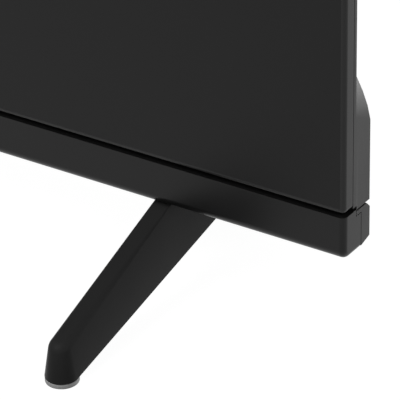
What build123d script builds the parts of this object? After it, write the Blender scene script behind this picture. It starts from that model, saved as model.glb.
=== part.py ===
from build123d import *
import os

# A 43 inch class flat television on two screwed-on legs, in millimetres.
# X is to the viewer's right, Y runs from the viewer to the wall, Z is up.
# The origin lies on the floor, midway between the toes and between the sides.

os.makedirs("parts", exist_ok=True)

# Overall size
body_width = 960.0
body_height = 565.0
chin_underside_z = 51.3
leg_span = 215.2
toe_reach = 90.6
fit_gap = 0.3
overrun = 5.0

half_width = body_width / 2
top_z = chin_underside_z + body_height
front_y = toe_reach - leg_span / 2

# Chin strip and its back
chin_height = 22.2
chin_depth = 14.7
chin_wall = 2.2
chin_edge_radius = 5.0
chin_end_radius = 3.0
chin_slot = 2.0
chin_back_depth = 22.7
chin_back_rise = 1.2
chin_back_slope_rise = 2.0
chin_back_chamfer = 2.6
chin_ledge_depth = 10.7
chin_ledge_drop = 1.1

chin_top_z = chin_underside_z + chin_height
panel_bottom_z = chin_top_z + chin_slot
chin_ledge_z = chin_top_z - chin_ledge_drop
chin_back_z = chin_underside_z + chin_back_rise
chin_heel_z = chin_back_z + chin_back_slope_rise
chin_shelf_z = chin_ledge_z - chin_wall - fit_gap
window_mid_z = chin_underside_z + chin_height / 2

# Outer frame round the glass
frame_depth = 7.2
frame_wall = 1.5
frame_lip = 2.4
frame_lip_thickness = 0.8
frame_front_radius = 2.0
frame_corner_radius = 2.5

# Glass, carrier frame, films and diffuser
glass_thickness = 1.4
carrier_flange = 9.0
carrier_thickness = 1.2
carrier_wall = 1.5
film_thickness = 0.5
diffuser_thickness = 1.5
sheet_inset = 4.5

# Steel tray and white reflector
tray_thickness = 0.6
tray_back_depth = 27.6
tray_slope_run = 35.0
tray_corner_radius = 14.0
reflector_thickness = 0.5
reflector_inset = 1.8

# Backlight strips
strip_rows = 3
strip_lights = 7
strip_width = 16.0
strip_thickness = 1.0
strip_end_gap = 12.0
lens_radius = 8.0
lens_top_radius = 5.0
lens_height = 6.0
lens_sides = 8

# Rear cover
cover_wall = 2.2
rim_depth = 2.1
cover_slot = 0.8
pan_depth = 33.0
pan_slope_run = 35.0
pan_edge_inset = 0.8
pan_corner_radius = 12.0
bulge_depth = 75.0
bulge_side_inset = 34.0
bulge_side_run = 26.0
bulge_underside_z = 56.0
bulge_top_z = 470.0
bulge_top_run = 40.0
bulge_corner_radius = 18.0
bulge_edge_radius = 8.0
wing_edge_z = 113.9
wing_top_z = 160.0
wing_corner_radius = 69.0
wing_corner_turn = 47.5
wing_lean_share = 0.22
wing_skew_share = 0.466
cover_slope_share = 1.45
bulge_slope_share = 1.2

# Vent slots in the rear cover
vent_slot_width = 3.2
vent_slot_height = 34.0
vent_pitch = 8.0
vent_count = 20
vent_z = 364.0
vent_key_gap = 48.0
grille_slot_length = 30.0
grille_pitch = 7.0
grille_count = 11

# Wall mount posts
wall_pitch_x = 200.0
wall_pitch_z = 200.0
wall_centre_z = 310.0
post_radius = 8.0
post_clearance = 2.0
post_thread_radius = 2.5
post_thread_depth = 22.0

# Terminal bay and power bay in the rear cover
bay_depth = 31.0
bay_reach = 128.0
terminal_bay_bottom_z = 112.0
terminal_bay_top_z = 292.0
power_bay_bottom_z = 120.0
power_bay_top_z = 172.0

# Circuit boards
board_thickness = 1.6
standoff_height = 5.0
standoff_radius = 3.0
board_screw_radius = 1.5
board_screw_head_radius = 2.8
board_screw_head_height = 1.8
board_screw_inset = 6.0
board_edge_gap = 1.5
hex_sides = 6
main_board_width = 186.0
main_board_bottom_z = 104.0
main_board_height = 192.0
power_board_width = 186.0
power_board_bottom_z = 104.0
power_board_height = 192.0

# Sockets on the main board, given by their mouth width and height
hdmi_count = 3
hdmi_first_z = 150.0
hdmi_pitch = 24.0
hdmi_width = 15.0
hdmi_height = 6.2
hdmi_mouth_width = 13.6
hdmi_mouth_height = 4.6
hdmi_length = 12.0
usb_count = 2
usb_first_z = 220.0
usb_pitch = 18.0
usb_width = 13.4
usb_height = 6.6
usb_mouth_width = 12.2
usb_mouth_height = 5.0
usb_length = 14.0
network_z = 258.0
network_width = 16.0
network_height = 13.4
network_mouth_width = 12.0
network_mouth_height = 9.0
network_length = 18.0
network_mouth_depth = 14.0
socket_mouth_depth = 9.0
jack_z = 277.0
jack_width = 8.0
jack_height = 7.0
jack_radius = 1.8
jack_length = 14.0
jack_bore_depth = 12.0
antenna_z = 127.5
antenna_radius = 4.75
antenna_neck_radius = 4.2
antenna_bore_radius = 1.0
antenna_bore_depth = 8.0
antenna_reach = 9.0

# Parts on the main board
tuner_width = 22.0
tuner_length = 42.0
tuner_height = 11.0
chip_size = 27.0
chip_height = 2.0
heatsink_size = 46.0
heatsink_base = 3.0
heatsink_height = 16.0
heatsink_fins = 7
fin_thickness = 1.4
chip_inset = 98.0
chip_z = 226.0

# Parts on the power board
transformer_width = 44.0
transformer_length = 40.0
transformer_height = 24.0
transformer_window = 24.0
transformer_pitch = 80.0
transformer_inset = 43.7
capacitor_radius = 9.0
capacitor_height = 24.0
capacitor_pitch = 26.0
capacitor_count = 2
capacitor_inset = 137.7
capacitor_z = 254.0
power_sink_length = 58.0
power_sink_height = 22.0
power_sink_thickness = 2.0
power_sink_flange = 12.0
power_sink_inset = 85.7
inlet_z = 146.0
inlet_width = 24.0
inlet_height = 16.0
inlet_length = 24.0
inlet_mouth_width = 18.0
inlet_mouth_height = 9.6
inlet_mouth_depth = 16.0
inlet_pin_radius = 1.2
inlet_pin_pitch = 8.6

# Panel electronics
source_board_width = 700.0
source_board_reach = 10.0
flex_count = 6
flex_width = 32.0
flex_thickness = 0.25
flex_lap = 4.0
flex_slot = 1.0
timing_board_width = 84.0
timing_board_height = 46.0
timing_board_bottom_z = 95.0
flat_cable_width = 18.0
flat_cable_thickness = 0.4
flat_cable_lap = 4.0
flat_cable_pitch = 44.0
wireless_width = 34.0
wireless_height = 22.0
wireless_x = 30.0
wireless_z = 420.0
wireless_thickness = 3.2

# Speakers
speaker_width = 104.0
speaker_height = 38.0
speaker_depth = 39.0
speaker_wall = 2.0
speaker_round = 4.0
speaker_bracket_gap = 11.6
speaker_back_gap = 4.3
driver_radius = 16.5
driver_rim = 2.0
driver_basket_height = 8.0
magnet_radius = 10.0
magnet_height = 8.0
driver_wall = 1.2
cone_thickness = 0.6
dome_radius = 5.0
cone_height = 4.5

# Remote receiver in the chin
window_width = 26.0
window_height = 6.0
window_radius = 2.0
ir_board_width = 32.0
ir_board_height = 12.0
ir_board_gap = 3.5
ir_dome_radius = 2.6

# Keys on the back
key_names = ("power", "input", "channel_up", "channel_down", "volume_up", "volume_down")
key_inset = 36.0
key_first_z = 300.0
key_pitch = 17.0
key_width = 12.0
key_height = 8.0
key_proud = 1.0
key_flange = 1.4
key_flange_thickness = 1.2
key_travel = 0.6
key_stem_radius = 1.6
key_stem_length = 4.0
key_edge_radius = 0.6
switch_size = 6.0
switch_height = 3.4
switch_plunger_radius = 1.5
switch_plunger_height = 0.8
key_post_radius = 3.0
key_board_width = 16.0
key_board_margin = 16.0

# Legs, with depths counted from the front face
leg_x_inset = 101.4
leg_top_width = 9.1
leg_foot_width = 16.4
leg_splay = 1.8
leg_edge_chamfer = 1.4
leg_root_depth = 6.2
leg_root_low_z = 20.2
leg_crotch_depth = 45.0
leg_crotch_z = 29.0
leg_heel_reach = 1.0
leg_heel_low_z = 22.5
leg_seat_front = 24.0
leg_seat_back_gap = 14.0
toe_radius = 8.2
toe_top_radius = 5.9
toe_height = 18.5
pad_height = 2.4
pad_radius = 8.0
leg_screw_radius = 2.0
leg_screw_head_radius = 4.2
leg_screw_head_height = 2.6
leg_screw_pitch = 20.0
leg_screw_grip = 14.0
leg_nut_radius = 5.0
leg_nut_height = 6.0
bracket_width = 46.0
bracket_thickness = 2.0
bracket_height = 22.0

# Screws of the rear cover
cover_screw_radius = 1.9
cover_screw_head_radius = 3.8
cover_screw_head_height = 2.2
cover_boss_radius = 5.0
cover_screw_inset = 48.0
cover_screw_row = 4
side_screw_drop = 68.0
bay_screw_reach = 82.0
bay_screw_inset = 22.0

# Harnesses
wire_radius = 1.6
wire_bend = 6.0
plug_length = 12.0
plug_height = 6.6
plug_width = 10.0
power_wire_z = 186.0
light_wire_z = 266.0
light_wire_reach = 12.0
speaker_wire_inset = 51.7
speaker_wire_pitch = 14.0
left_wire_z = 84.0
clip_size = 7.0
clip_wall = 1.8
clip_count = 3


# Places across the width that several pieces share
bulge_half_width = half_width - bulge_side_inset
bay_wall_x = bulge_half_width - bay_reach
leg_x = half_width - leg_x_inset
leg_seat_back = bulge_depth - leg_seat_back_gap
leg_heel_depth = leg_seat_back + leg_heel_reach
speaker_x = leg_x - bracket_width / 2 - speaker_bracket_gap - speaker_width / 2
speaker_front_depth = bulge_depth - cover_wall - speaker_back_gap - speaker_depth
key_x = bulge_half_width - bulge_side_run - key_inset
vent_bank_x = key_x - key_width / 2 - vent_key_gap - vent_pitch * vent_count / 2


def layer(depth):
    """Upright plane that faces the viewer, so far behind the front face."""
    return Plane(origin=(0, front_y + depth, 0), x_dir=(1, 0, 0), z_dir=(0, -1, 0))


def side(x):
    """Plane across the body at x, with depth behind the front and height as its axes."""
    return Plane(origin=(x, front_y, 0), x_dir=(0, 1, 0), z_dir=(1, 0, 0))


def level(z):
    """Level plane at z, with x and depth behind the front as its axes."""
    return Plane(origin=(0, front_y, z), x_dir=(1, 0, 0), z_dir=(0, 0, 1))


def span(x_low, x_high, y_low, y_high, radius=0):
    """Rectangle between two corners of the current sketch, rounded where a radius is given."""
    with Locations(((x_low + x_high) / 2, (y_low + y_high) / 2)):
        if radius:
            RectangleRounded(x_high - x_low, y_high - y_low, radius)
        else:
            Rectangle(x_high - x_low, y_high - y_low)


def slab(depth_low, depth_high, x_low, x_high, z_low, z_high, radius=0, mode=Mode.ADD):
    """Upright slab between two depths, drawn as the viewer sees it."""
    with BuildSketch(layer(depth_high)) as outline:
        span(x_low, x_high, z_low, z_high, radius)
    extrude(outline.sketch, amount=depth_high - depth_low, mode=mode)


def frustum(front, back, half_x, low, top, radius):
    """Sloped block between two depths; half_x, low and top each hold a front and a back value."""
    with BuildPart() as block:
        with BuildSketch(side(-half_x[0])) as profile:
            with BuildLine():
                Polyline((front, low[0]), (back, low[1]), (back, top[1]), (front, top[0]), close=True)
            make_face()
        extrude(profile.sketch, amount=half_x[0] * 2)
        with BuildSketch(level(low[0])) as plan:
            with BuildLine():
                Polyline((-half_x[0], front), (half_x[0], front), (half_x[1], back),
                         (-half_x[1], back), close=True)
            make_face()
        extrude(plan.sketch, amount=top[0] - low[0], mode=Mode.INTERSECT)
        fillet(block.edges().group_by(Axis.Y)[1], radius)
    return block.part


def peg(depth_low, depth_high, places, radius, mode=Mode.ADD):
    """Round bars between two depths, square to the front, at places given as x and z."""
    with BuildSketch(layer(depth_high)) as ends:
        with Locations(*places):
            Circle(radius)
    extrude(ends.sketch, amount=depth_high - depth_low, mode=mode)


def at(x, depth, z):
    """Point in space from its x, its depth behind the front and its height."""
    return (x, front_y + depth, z)


def turn(x, depth, *profile):
    """Round piece on an upright axis, from a profile given as radius and height."""
    with BuildSketch(Plane(origin=at(x, depth, 0), x_dir=(1, 0, 0), z_dir=(0, -1, 0))) as section:
        with BuildLine():
            Polyline(*profile, close=True)
        make_face()
    revolve(section.sketch, axis=Axis(at(x, depth, 0), (0, 0, 1)))


def wire(*points):
    """Round lead along straight runs joined by bends."""
    with BuildLine() as route:
        FilletPolyline(*points, radius=wire_bend)
    with BuildSketch(Plane(origin=route.line @ 0, z_dir=route.line % 0)) as section:
        Circle(wire_radius)
    sweep(section.sketch, path=route.line)


def keep(piece, name):
    """Label a finished piece and write its file."""
    piece.part.label = name
    export_step(piece.part, f"parts/{name}.step")


# Outer frame, one folded profile round all four sides of the glass
frame_low_z = panel_bottom_z
with BuildPart() as outer_frame:
    slab(0, frame_depth, -half_width, half_width, frame_low_z, top_z, frame_corner_radius)
    front_edges = outer_frame.faces().sort_by(Axis.Y)[0].edges()
    fillet(front_edges, frame_front_radius)
    slab(frame_lip_thickness, frame_depth, frame_wall - half_width, half_width - frame_wall,
         frame_low_z + frame_wall, top_z - frame_wall, mode=Mode.SUBTRACT)
    slab(0, frame_depth, frame_lip - half_width, half_width - frame_lip,
         frame_low_z + frame_lip, top_z - frame_lip, mode=Mode.SUBTRACT)
keep(outer_frame, "outer_frame")

# Glass of the liquid crystal cell, behind the lip of the frame
glass_front = frame_lip_thickness
glass_back = glass_front + glass_thickness
inner_x = half_width - frame_wall - fit_gap
inner_low_z = frame_low_z + frame_wall + fit_gap
inner_top_z = top_z - frame_wall - fit_gap
with BuildPart() as lcd_cell:
    slab(glass_front, glass_back, -inner_x, inner_x, inner_low_z, inner_top_z)
keep(lcd_cell, "lcd_cell")

# Carrier frame that holds the glass in front and the films behind
carrier_front = glass_back + fit_gap
carrier_back = carrier_front + carrier_thickness
carrier_low_z = inner_low_z + flex_slot
with BuildPart() as middle_frame:
    slab(carrier_front, frame_depth, -inner_x, inner_x, carrier_low_z, inner_top_z)
    slab(carrier_back, frame_depth, carrier_wall - inner_x, inner_x - carrier_wall,
         carrier_low_z + carrier_wall, inner_top_z - carrier_wall, mode=Mode.SUBTRACT)
    slab(carrier_front, carrier_back, carrier_flange - inner_x, inner_x - carrier_flange,
         carrier_low_z + carrier_flange, inner_top_z - carrier_flange, mode=Mode.SUBTRACT)
keep(middle_frame, "middle_frame")

# Stack of optical films, then the diffuser plate
sheet_x = inner_x - sheet_inset
sheet_low_z = inner_low_z + sheet_inset
sheet_top_z = inner_top_z - sheet_inset
film_back = carrier_back + film_thickness
with BuildPart() as optical_films:
    slab(carrier_back, film_back, -sheet_x, sheet_x, sheet_low_z, sheet_top_z)
keep(optical_films, "optical_films")

diffuser_back = film_back + diffuser_thickness
with BuildPart() as diffuser_plate:
    slab(film_back, diffuser_back, -sheet_x, sheet_x, sheet_low_z, sheet_top_z)
keep(diffuser_plate, "diffuser_plate")


def pan(front, back, inset, thickness):
    """Open pan with four sloped walls; its flange lies at the front and its floor at the back."""
    rim_x = sheet_x - inset
    rim_low = sheet_low_z + inset
    rim_top = sheet_top_z - inset
    floor_x = rim_x - tray_slope_run
    floor_low = rim_low + tray_slope_run
    floor_top = rim_top - tray_slope_run
    edge = thickness * 2
    add(frustum(front, back, (rim_x, floor_x), (rim_low, floor_low), (rim_top, floor_top),
                tray_corner_radius))
    add(frustum(front, back - thickness, (rim_x - edge, floor_x - thickness),
                (rim_low + edge, floor_low + thickness), (rim_top - edge, floor_top - thickness),
                tray_corner_radius - thickness), mode=Mode.SUBTRACT)


# Steel tray behind the diffuser, with the holes for the screws of the rear cover
tray_front = diffuser_back + fit_gap
screw_row_z = top_z - cover_screw_inset
side_screw_x = half_width - cover_screw_inset
screw_row_pitch = (side_screw_x - cover_screw_inset) * 2 / (cover_screw_row - 1)
pan_screws = [(screw_row_pitch * (i - (cover_screw_row - 1) / 2), screw_row_z)
              for i in range(cover_screw_row)]
side_screw_z = screw_row_z - side_screw_drop
pan_screws += [(-side_screw_x, side_screw_z), (side_screw_x, side_screw_z)]
bay_screw_x = bay_wall_x + bay_screw_reach
bay_screws = [(-bay_screw_x, terminal_bay_bottom_z + bay_screw_inset),
              (-bay_screw_x, terminal_bay_top_z - bay_screw_inset),
              (bay_screw_x, (power_bay_bottom_z + power_bay_top_z) / 2)]
with BuildPart() as rear_tray:
    pan(tray_front, tray_back_depth, 0, tray_thickness)
    peg(tray_back_depth - tray_thickness, tray_back_depth, pan_screws + bay_screws,
        cover_screw_radius + fit_gap, Mode.SUBTRACT)
keep(rear_tray, "rear_tray")

# White reflector that lines the tray, pierced for the lenses
tray_floor = tray_back_depth - tray_thickness
strip_front = tray_floor - strip_thickness
reflector_back = strip_front - fit_gap
light_mid_z = (sheet_low_z + sheet_top_z) / 2
strip_light_pitch = (sheet_x - tray_slope_run - strip_end_gap) * 2 / strip_lights
strip_row_pitch = (sheet_top_z - sheet_low_z - tray_slope_run * 2) / strip_rows
with BuildPart() as reflector_sheet:
    pan(tray_front, reflector_back, reflector_inset, reflector_thickness)
    with BuildSketch(layer(reflector_back)):
        with Locations((0, light_mid_z)):
            with GridLocations(strip_light_pitch, strip_row_pitch, strip_lights, strip_rows):
                RegularPolygon(lens_radius + fit_gap * 2, lens_sides)
    extrude(amount=reflector_thickness, mode=Mode.SUBTRACT)
keep(reflector_sheet, "reflector_sheet")

# Strips of lights on the tray and a lens over each light
strip_length = strip_light_pitch * strip_lights - strip_width
with BuildPart() as led_strips:
    with BuildSketch(layer(tray_floor)):
        with Locations((0, light_mid_z)):
            with GridLocations(strip_width, strip_row_pitch, 1, strip_rows):
                Rectangle(strip_length, strip_width)
    extrude(amount=strip_thickness)
keep(led_strips, "led_strips")

with BuildPart() as led_lenses:
    with BuildSketch(layer(strip_front)):
        with Locations((0, light_mid_z)):
            with GridLocations(strip_light_pitch, strip_row_pitch, strip_lights, strip_rows):
                RegularPolygon(lens_radius, lens_sides)
    extrude(amount=lens_height)
    chamfer(led_lenses.faces().group_by(Axis.Y)[0].edges(), lens_radius - lens_top_radius)
keep(led_lenses, "led_lenses")


# Chin strip below the glass: rounded along its lower front edge, closed at both ends
with BuildPart() as chin_trim:
    with BuildSketch(side(-half_width)):
        with BuildLine():
            Polyline((0, chin_underside_z + chin_edge_radius), (0, chin_top_z),
                     (chin_ledge_depth - fit_gap, chin_top_z), (chin_ledge_depth - fit_gap, chin_shelf_z),
                     (chin_depth, chin_shelf_z), (chin_depth, chin_underside_z),
                     (chin_edge_radius, chin_underside_z))
            RadiusArc((chin_edge_radius, chin_underside_z),
                      (0, chin_underside_z + chin_edge_radius), chin_edge_radius)
        make_face()
    extrude(amount=body_width)
    end_edges = chin_trim.edges().filter_by(Axis.Z).group_by(Axis.Y)[0]
    fillet(end_edges, chin_end_radius)
    with BuildSketch(side(chin_wall - half_width)):
        with BuildLine():
            Polyline((chin_wall, chin_underside_z + chin_edge_radius),
                     (chin_wall, chin_top_z - chin_wall),
                     (chin_depth, chin_top_z - chin_wall),
                     (chin_depth, chin_underside_z + chin_wall),
                     (chin_edge_radius, chin_underside_z + chin_wall))
            RadiusArc((chin_edge_radius, chin_underside_z + chin_wall),
                      (chin_wall, chin_underside_z + chin_edge_radius),
                      chin_edge_radius - chin_wall)
        make_face()
    extrude(amount=body_width - chin_wall * 2, mode=Mode.SUBTRACT)
    slab(0, chin_wall, -window_width / 2, window_width / 2, window_mid_z - window_height / 2,
         window_mid_z + window_height / 2, window_radius, Mode.SUBTRACT)
keep(chin_trim, "chin_trim")

# Back of the chin: a channel that closes the strip from behind
with BuildPart() as bottom_cover:
    with BuildSketch(side(-half_width)):
        with BuildLine():
            Polyline((chin_depth + fit_gap, chin_back_z), (chin_depth + fit_gap, chin_ledge_z - chin_wall),
                     (chin_ledge_depth, chin_ledge_z - chin_wall), (chin_ledge_depth, chin_ledge_z),
                     (chin_back_depth - chin_back_chamfer, chin_ledge_z),
                     (chin_back_depth, chin_ledge_z - chin_back_chamfer),
                     (chin_back_depth, chin_heel_z), close=True)
        make_face()
    extrude(amount=body_width)
    with BuildSketch(side(chin_wall - half_width)):
        span(chin_depth, chin_back_depth - chin_wall,
             chin_heel_z + chin_wall, chin_ledge_z - chin_back_chamfer - chin_wall)
    extrude(amount=body_width - chin_wall * 2, mode=Mode.SUBTRACT)
keep(bottom_cover, "bottom_cover")


# Forms of the rear cover; a wall above zero gives the hollow inside each form
rim_front = frame_depth + fit_gap
rim_back = rim_front + rim_depth
cover_low_z = chin_ledge_z + cover_slot


def bulge(wall):
    """Deep lower half of the cover, narrower at the back, with its rear edge rounded."""
    inset = wall * bulge_slope_share
    front_x = bulge_half_width - inset
    back_x = front_x - bulge_side_run
    low = bulge_underside_z + wall
    radius = bulge_corner_radius - wall
    top = bulge_top_z - inset
    with BuildPart() as form:
        add(frustum(chin_back_depth + fit_gap, bulge_depth - wall, (front_x, back_x), (low, low),
                    (top, top - bulge_top_run), radius))
        fillet(form.faces().sort_by(Axis.Y)[-1].edges(), bulge_edge_radius - wall)
        if wall:
            slab(rim_front, chin_back_depth + wall * 2, radius - front_x, front_x - radius,
                 cover_low_z + wall, top - radius)
    return form.part


def cover_form(wall, deep_half):
    """Whole form of the rear cover, or of the hollow that a wall leaves inside it."""
    slope_inset = wall * cover_slope_share
    edge_x = half_width - pan_edge_inset - slope_inset
    edge_low = panel_bottom_z + pan_edge_inset + slope_inset
    edge_top = top_z - pan_edge_inset - slope_inset
    low = cover_low_z + wall
    step = chin_ledge_depth + wall
    deep = chin_back_depth - wall
    upper = wing_top_z - wall
    wing_x = half_width - wall
    edge_z = wing_edge_z - wall * wing_lean_share
    with BuildPart() as wings:
        with BuildSketch(side(-wing_x)) as profile:
            with BuildLine():
                Polyline((rim_front, upper), (rim_front, panel_bottom_z + wall),
                         (step, panel_bottom_z + wall), (step, low), (deep, low), (deep, upper),
                         close=True)
            make_face()
        extrude(profile.sketch, amount=wing_x * 2)
        with BuildSketch(layer(deep)) as crown:
            with BuildLine():
                right = JernArc((wing_x, edge_z), (-wing_lean_share, 1),
                                wing_corner_radius - wall, wing_corner_turn)
                left = JernArc((-wing_x, edge_z), (wing_lean_share, 1),
                               wing_corner_radius - wall, -wing_corner_turn)
                Line(left @ 1, right @ 1)
                Polyline(left @ 0, (-wing_x, 0), (wing_x, 0), right @ 0)
            make_face()
        extrude(crown.sketch, amount=bulge_depth, dir=(0, -1, wing_skew_share), mode=Mode.INTERSECT)
    with BuildPart() as form:
        slab(rim_front - wall, rim_back, wall - half_width, half_width - wall,
             panel_bottom_z + wall, top_z - wall, frame_corner_radius)
        add(frustum(rim_back, pan_depth - wall, (edge_x, edge_x - pan_slope_run),
                    (edge_low, edge_low + pan_slope_run), (edge_top, edge_top - pan_slope_run),
                    pan_corner_radius - wall))
        add(wings.part)
        add(deep_half)
        for sign, bottom_z, upper_z in bays:
            inner = bay_wall_x - wall
            outer = half_width + overrun
            slab(bay_depth - wall, bulge_depth + overrun, min(sign * inner, sign * outer),
                 max(sign * inner, sign * outer), bottom_z - wall, upper_z + wall, mode=Mode.SUBTRACT)
    return form.part


# Rear cover: a shallow pan with a deep lower half and two side wings
bays = ((-1, terminal_bay_bottom_z, terminal_bay_top_z), (1, power_bay_bottom_z, power_bay_top_z))
hollow = cover_form(cover_wall, bulge(cover_wall))
shell = cover_form(0, bulge(0))

# Places that the cover shares with what shows or seats through it
bay_inner_x = bay_wall_x - cover_wall
board_front = tray_back_depth + standoff_height
board_back = board_front + board_thickness
board_x = bay_inner_x - board_edge_gap
cover_back_inside = bulge_depth - cover_wall
post_places = [(i * wall_pitch_x / 2, wall_centre_z + j * wall_pitch_z / 2)
               for i in (-1, 1) for j in (-1, 1)]
hdmi_places = [hdmi_first_z + hdmi_pitch * i for i in range(hdmi_count)]
usb_places = [usb_first_z + usb_pitch * i for i in range(usb_count)]
key_places = [key_first_z + key_pitch * i for i in range(len(key_names))]
key_board_low_z = key_places[0] - key_board_margin
key_board_high_z = key_places[-1] + key_board_margin
key_flange_front = cover_back_inside - fit_gap / 2 - key_flange_thickness
plunger_top = key_flange_front - key_stem_length - key_travel - fit_gap / 2
switch_top = plunger_top - switch_plunger_height
key_board_back = switch_top - switch_height
key_screw_z = (key_board_low_z + board_screw_inset, key_board_high_z - board_screw_inset)
leg_screw_depths = ((leg_seat_front + leg_seat_back - leg_screw_pitch) / 2,
                    (leg_seat_front + leg_seat_back + leg_screw_pitch) / 2)
leg_screw_places = [(i * leg_x, depth) for i in (-1, 1) for depth in leg_screw_depths]
tuner_mid = board_back + tuner_height / 2
inlet_mid = board_back + inlet_height / 2
jack_mid = board_back + jack_height / 2


def wall_window(sign, mid_z, width, height):
    """Slot in the wall of a bay, open to the front, so that the cover slides on over a socket."""
    slab(bay_depth - cover_wall, board_back + height + fit_gap,
         min(sign * bay_inner_x, sign * bay_wall_x), max(sign * bay_inner_x, sign * bay_wall_x),
         mid_z - width / 2 - fit_gap, mid_z + width / 2 + fit_gap, mode=Mode.SUBTRACT)


with BuildPart() as rear_cover:
    add(shell)
    add(hollow, mode=Mode.SUBTRACT)
    # Bosses for the cover screws and posts for the key board
    peg(tray_back_depth + fit_gap, pan_depth - cover_wall, pan_screws, cover_boss_radius)
    peg(tray_back_depth + fit_gap, bay_depth - cover_wall, bay_screws, cover_boss_radius)
    peg(key_board_back, cover_back_inside, [(key_x, z) for z in key_screw_z], key_post_radius)
    peg(tray_back_depth, pan_depth, pan_screws, cover_screw_radius + fit_gap, Mode.SUBTRACT)
    peg(tray_back_depth, bay_depth, bay_screws, cover_screw_radius + fit_gap, Mode.SUBTRACT)
    # Holes for the wall mount posts and the keys
    peg(cover_back_inside, bulge_depth, post_places, post_radius + fit_gap, Mode.SUBTRACT)
    for z in key_places:
        slab(cover_back_inside, bulge_depth, key_x - key_width / 2 - fit_gap,
             key_x + key_width / 2 + fit_gap, z - key_height / 2 - fit_gap,
             z + key_height / 2 + fit_gap, mode=Mode.SUBTRACT)
    # Windows for the sockets
    for z in hdmi_places:
        wall_window(-1, z, hdmi_width, hdmi_height)
    for z in usb_places:
        wall_window(-1, z, usb_width, usb_height)
    wall_window(-1, network_z, network_width, network_height)
    wall_window(-1, jack_z, jack_width, jack_height)
    wall_window(1, inlet_z, inlet_width, inlet_height)
    with BuildSketch(side(-bay_wall_x - antenna_reach - fit_gap)) as antenna_slot:
        with Locations((tuner_mid, antenna_z)):
            Circle(antenna_radius + fit_gap)
        span(bay_depth - cover_wall, tuner_mid, antenna_z - antenna_radius - fit_gap,
             antenna_z + antenna_radius + fit_gap)
    extrude(antenna_slot.sketch, amount=cover_wall + antenna_reach + fit_gap, mode=Mode.SUBTRACT)
    # Vent slots high on the back, speaker slots in the underside
    with BuildSketch(layer(bulge_depth)) as vents:
        with Locations((-vent_bank_x, vent_z), (vent_bank_x, vent_z)):
            with GridLocations(vent_pitch, vent_slot_height, vent_count, 1):
                Rectangle(vent_slot_width, vent_slot_height)
    extrude(vents.sketch, amount=cover_wall, mode=Mode.SUBTRACT)
    speaker_mid = speaker_front_depth + speaker_depth / 2
    with BuildSketch(level(bulge_underside_z)) as grilles:
        with Locations((-speaker_x, speaker_mid), (speaker_x, speaker_mid)):
            with GridLocations(grille_pitch, grille_slot_length, grille_count, 1):
                Rectangle(vent_slot_width, grille_slot_length)
        with Locations(*leg_screw_places):
            Circle(leg_screw_radius + fit_gap)
    extrude(grilles.sketch, amount=cover_wall, mode=Mode.SUBTRACT)
    # Shallow channel in the bottom rim for the ribbons of the glass
    slab(rim_front, chin_ledge_depth + cover_wall, -source_board_width / 2, source_board_width / 2,
         panel_bottom_z + flex_slot, panel_bottom_z + cover_wall + flex_slot, mode=Mode.SUBTRACT)
keep(rear_cover, "rear_cover")

# Screws of the rear cover
with BuildPart() as cover_screws:
    for seat, places in ((pan_depth, pan_screws), (bay_depth, bay_screws)):
        peg(tray_back_depth - tray_thickness, seat, places, cover_screw_radius)
        peg(seat, seat + cover_screw_head_height, places, cover_screw_head_radius)
keep(cover_screws, "cover_screws")

# Posts for the wall mount, riveted to the tray and threaded from behind
with BuildPart() as wall_mount_posts:
    peg(tray_back_depth, bulge_depth, post_places, post_radius)
    peg(bulge_depth - post_thread_depth, bulge_depth, post_places, post_thread_radius, Mode.SUBTRACT)
keep(wall_mount_posts, "wall_mount_posts")


def corner_places(x_low, x_high, z_low, z_high):
    """Screw places near the four corners of a board."""
    return [(x, z) for x in (x_low + board_screw_inset, x_high - board_screw_inset)
            for z in (z_low + board_screw_inset, z_high - board_screw_inset)]


# Circuit boards on standoffs behind the tray
main_left = -board_x
main_right = main_board_width - board_x
main_top_z = main_board_bottom_z + main_board_height
power_left = board_x - power_board_width
power_top_z = power_board_bottom_z + power_board_height
main_screws = corner_places(main_left, main_right, main_board_bottom_z, main_top_z)
power_screws = corner_places(power_left, board_x, power_board_bottom_z, power_top_z)
timing_low_z = timing_board_bottom_z
timing_high_z = timing_low_z + timing_board_height
timing_screws = [(i * (timing_board_width / 2 - board_screw_inset), timing_high_z - board_screw_inset)
                 for i in (-1, 1)]
screw_hole = board_screw_radius + fit_gap
with BuildPart() as main_board:
    slab(board_front, board_back, main_left, main_right, main_board_bottom_z, main_top_z)
    peg(board_front, board_back, main_screws, screw_hole, Mode.SUBTRACT)
    peg(board_front, board_back, post_places, post_radius + post_clearance, Mode.SUBTRACT)
keep(main_board, "main_board")

with BuildPart() as power_board:
    slab(board_front, board_back, power_left, board_x, power_board_bottom_z, power_top_z)
    peg(board_front, board_back, power_screws, screw_hole, Mode.SUBTRACT)
    peg(board_front, board_back, post_places, post_radius + post_clearance, Mode.SUBTRACT)
keep(power_board, "power_board")

with BuildPart() as timing_board:
    slab(board_front, board_back, -timing_board_width / 2, timing_board_width / 2,
         timing_low_z, timing_high_z)
    peg(board_front, board_back, timing_screws, screw_hole, Mode.SUBTRACT)
keep(timing_board, "timing_board")

all_board_screws = main_screws + power_screws + timing_screws
with BuildPart() as board_standoffs:
    with BuildSketch(layer(board_front)) as hexes:
        with Locations(*all_board_screws):
            RegularPolygon(standoff_radius, hex_sides)
            Circle(screw_hole, mode=Mode.SUBTRACT)
    extrude(hexes.sketch, amount=standoff_height)
keep(board_standoffs, "board_standoffs")

with BuildPart() as board_screws:
    peg(tray_back_depth + fit_gap, board_back, all_board_screws, board_screw_radius)
    peg(board_back, board_back + board_screw_head_height, all_board_screws, board_screw_head_radius)
keep(board_screws, "board_screws")


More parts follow.
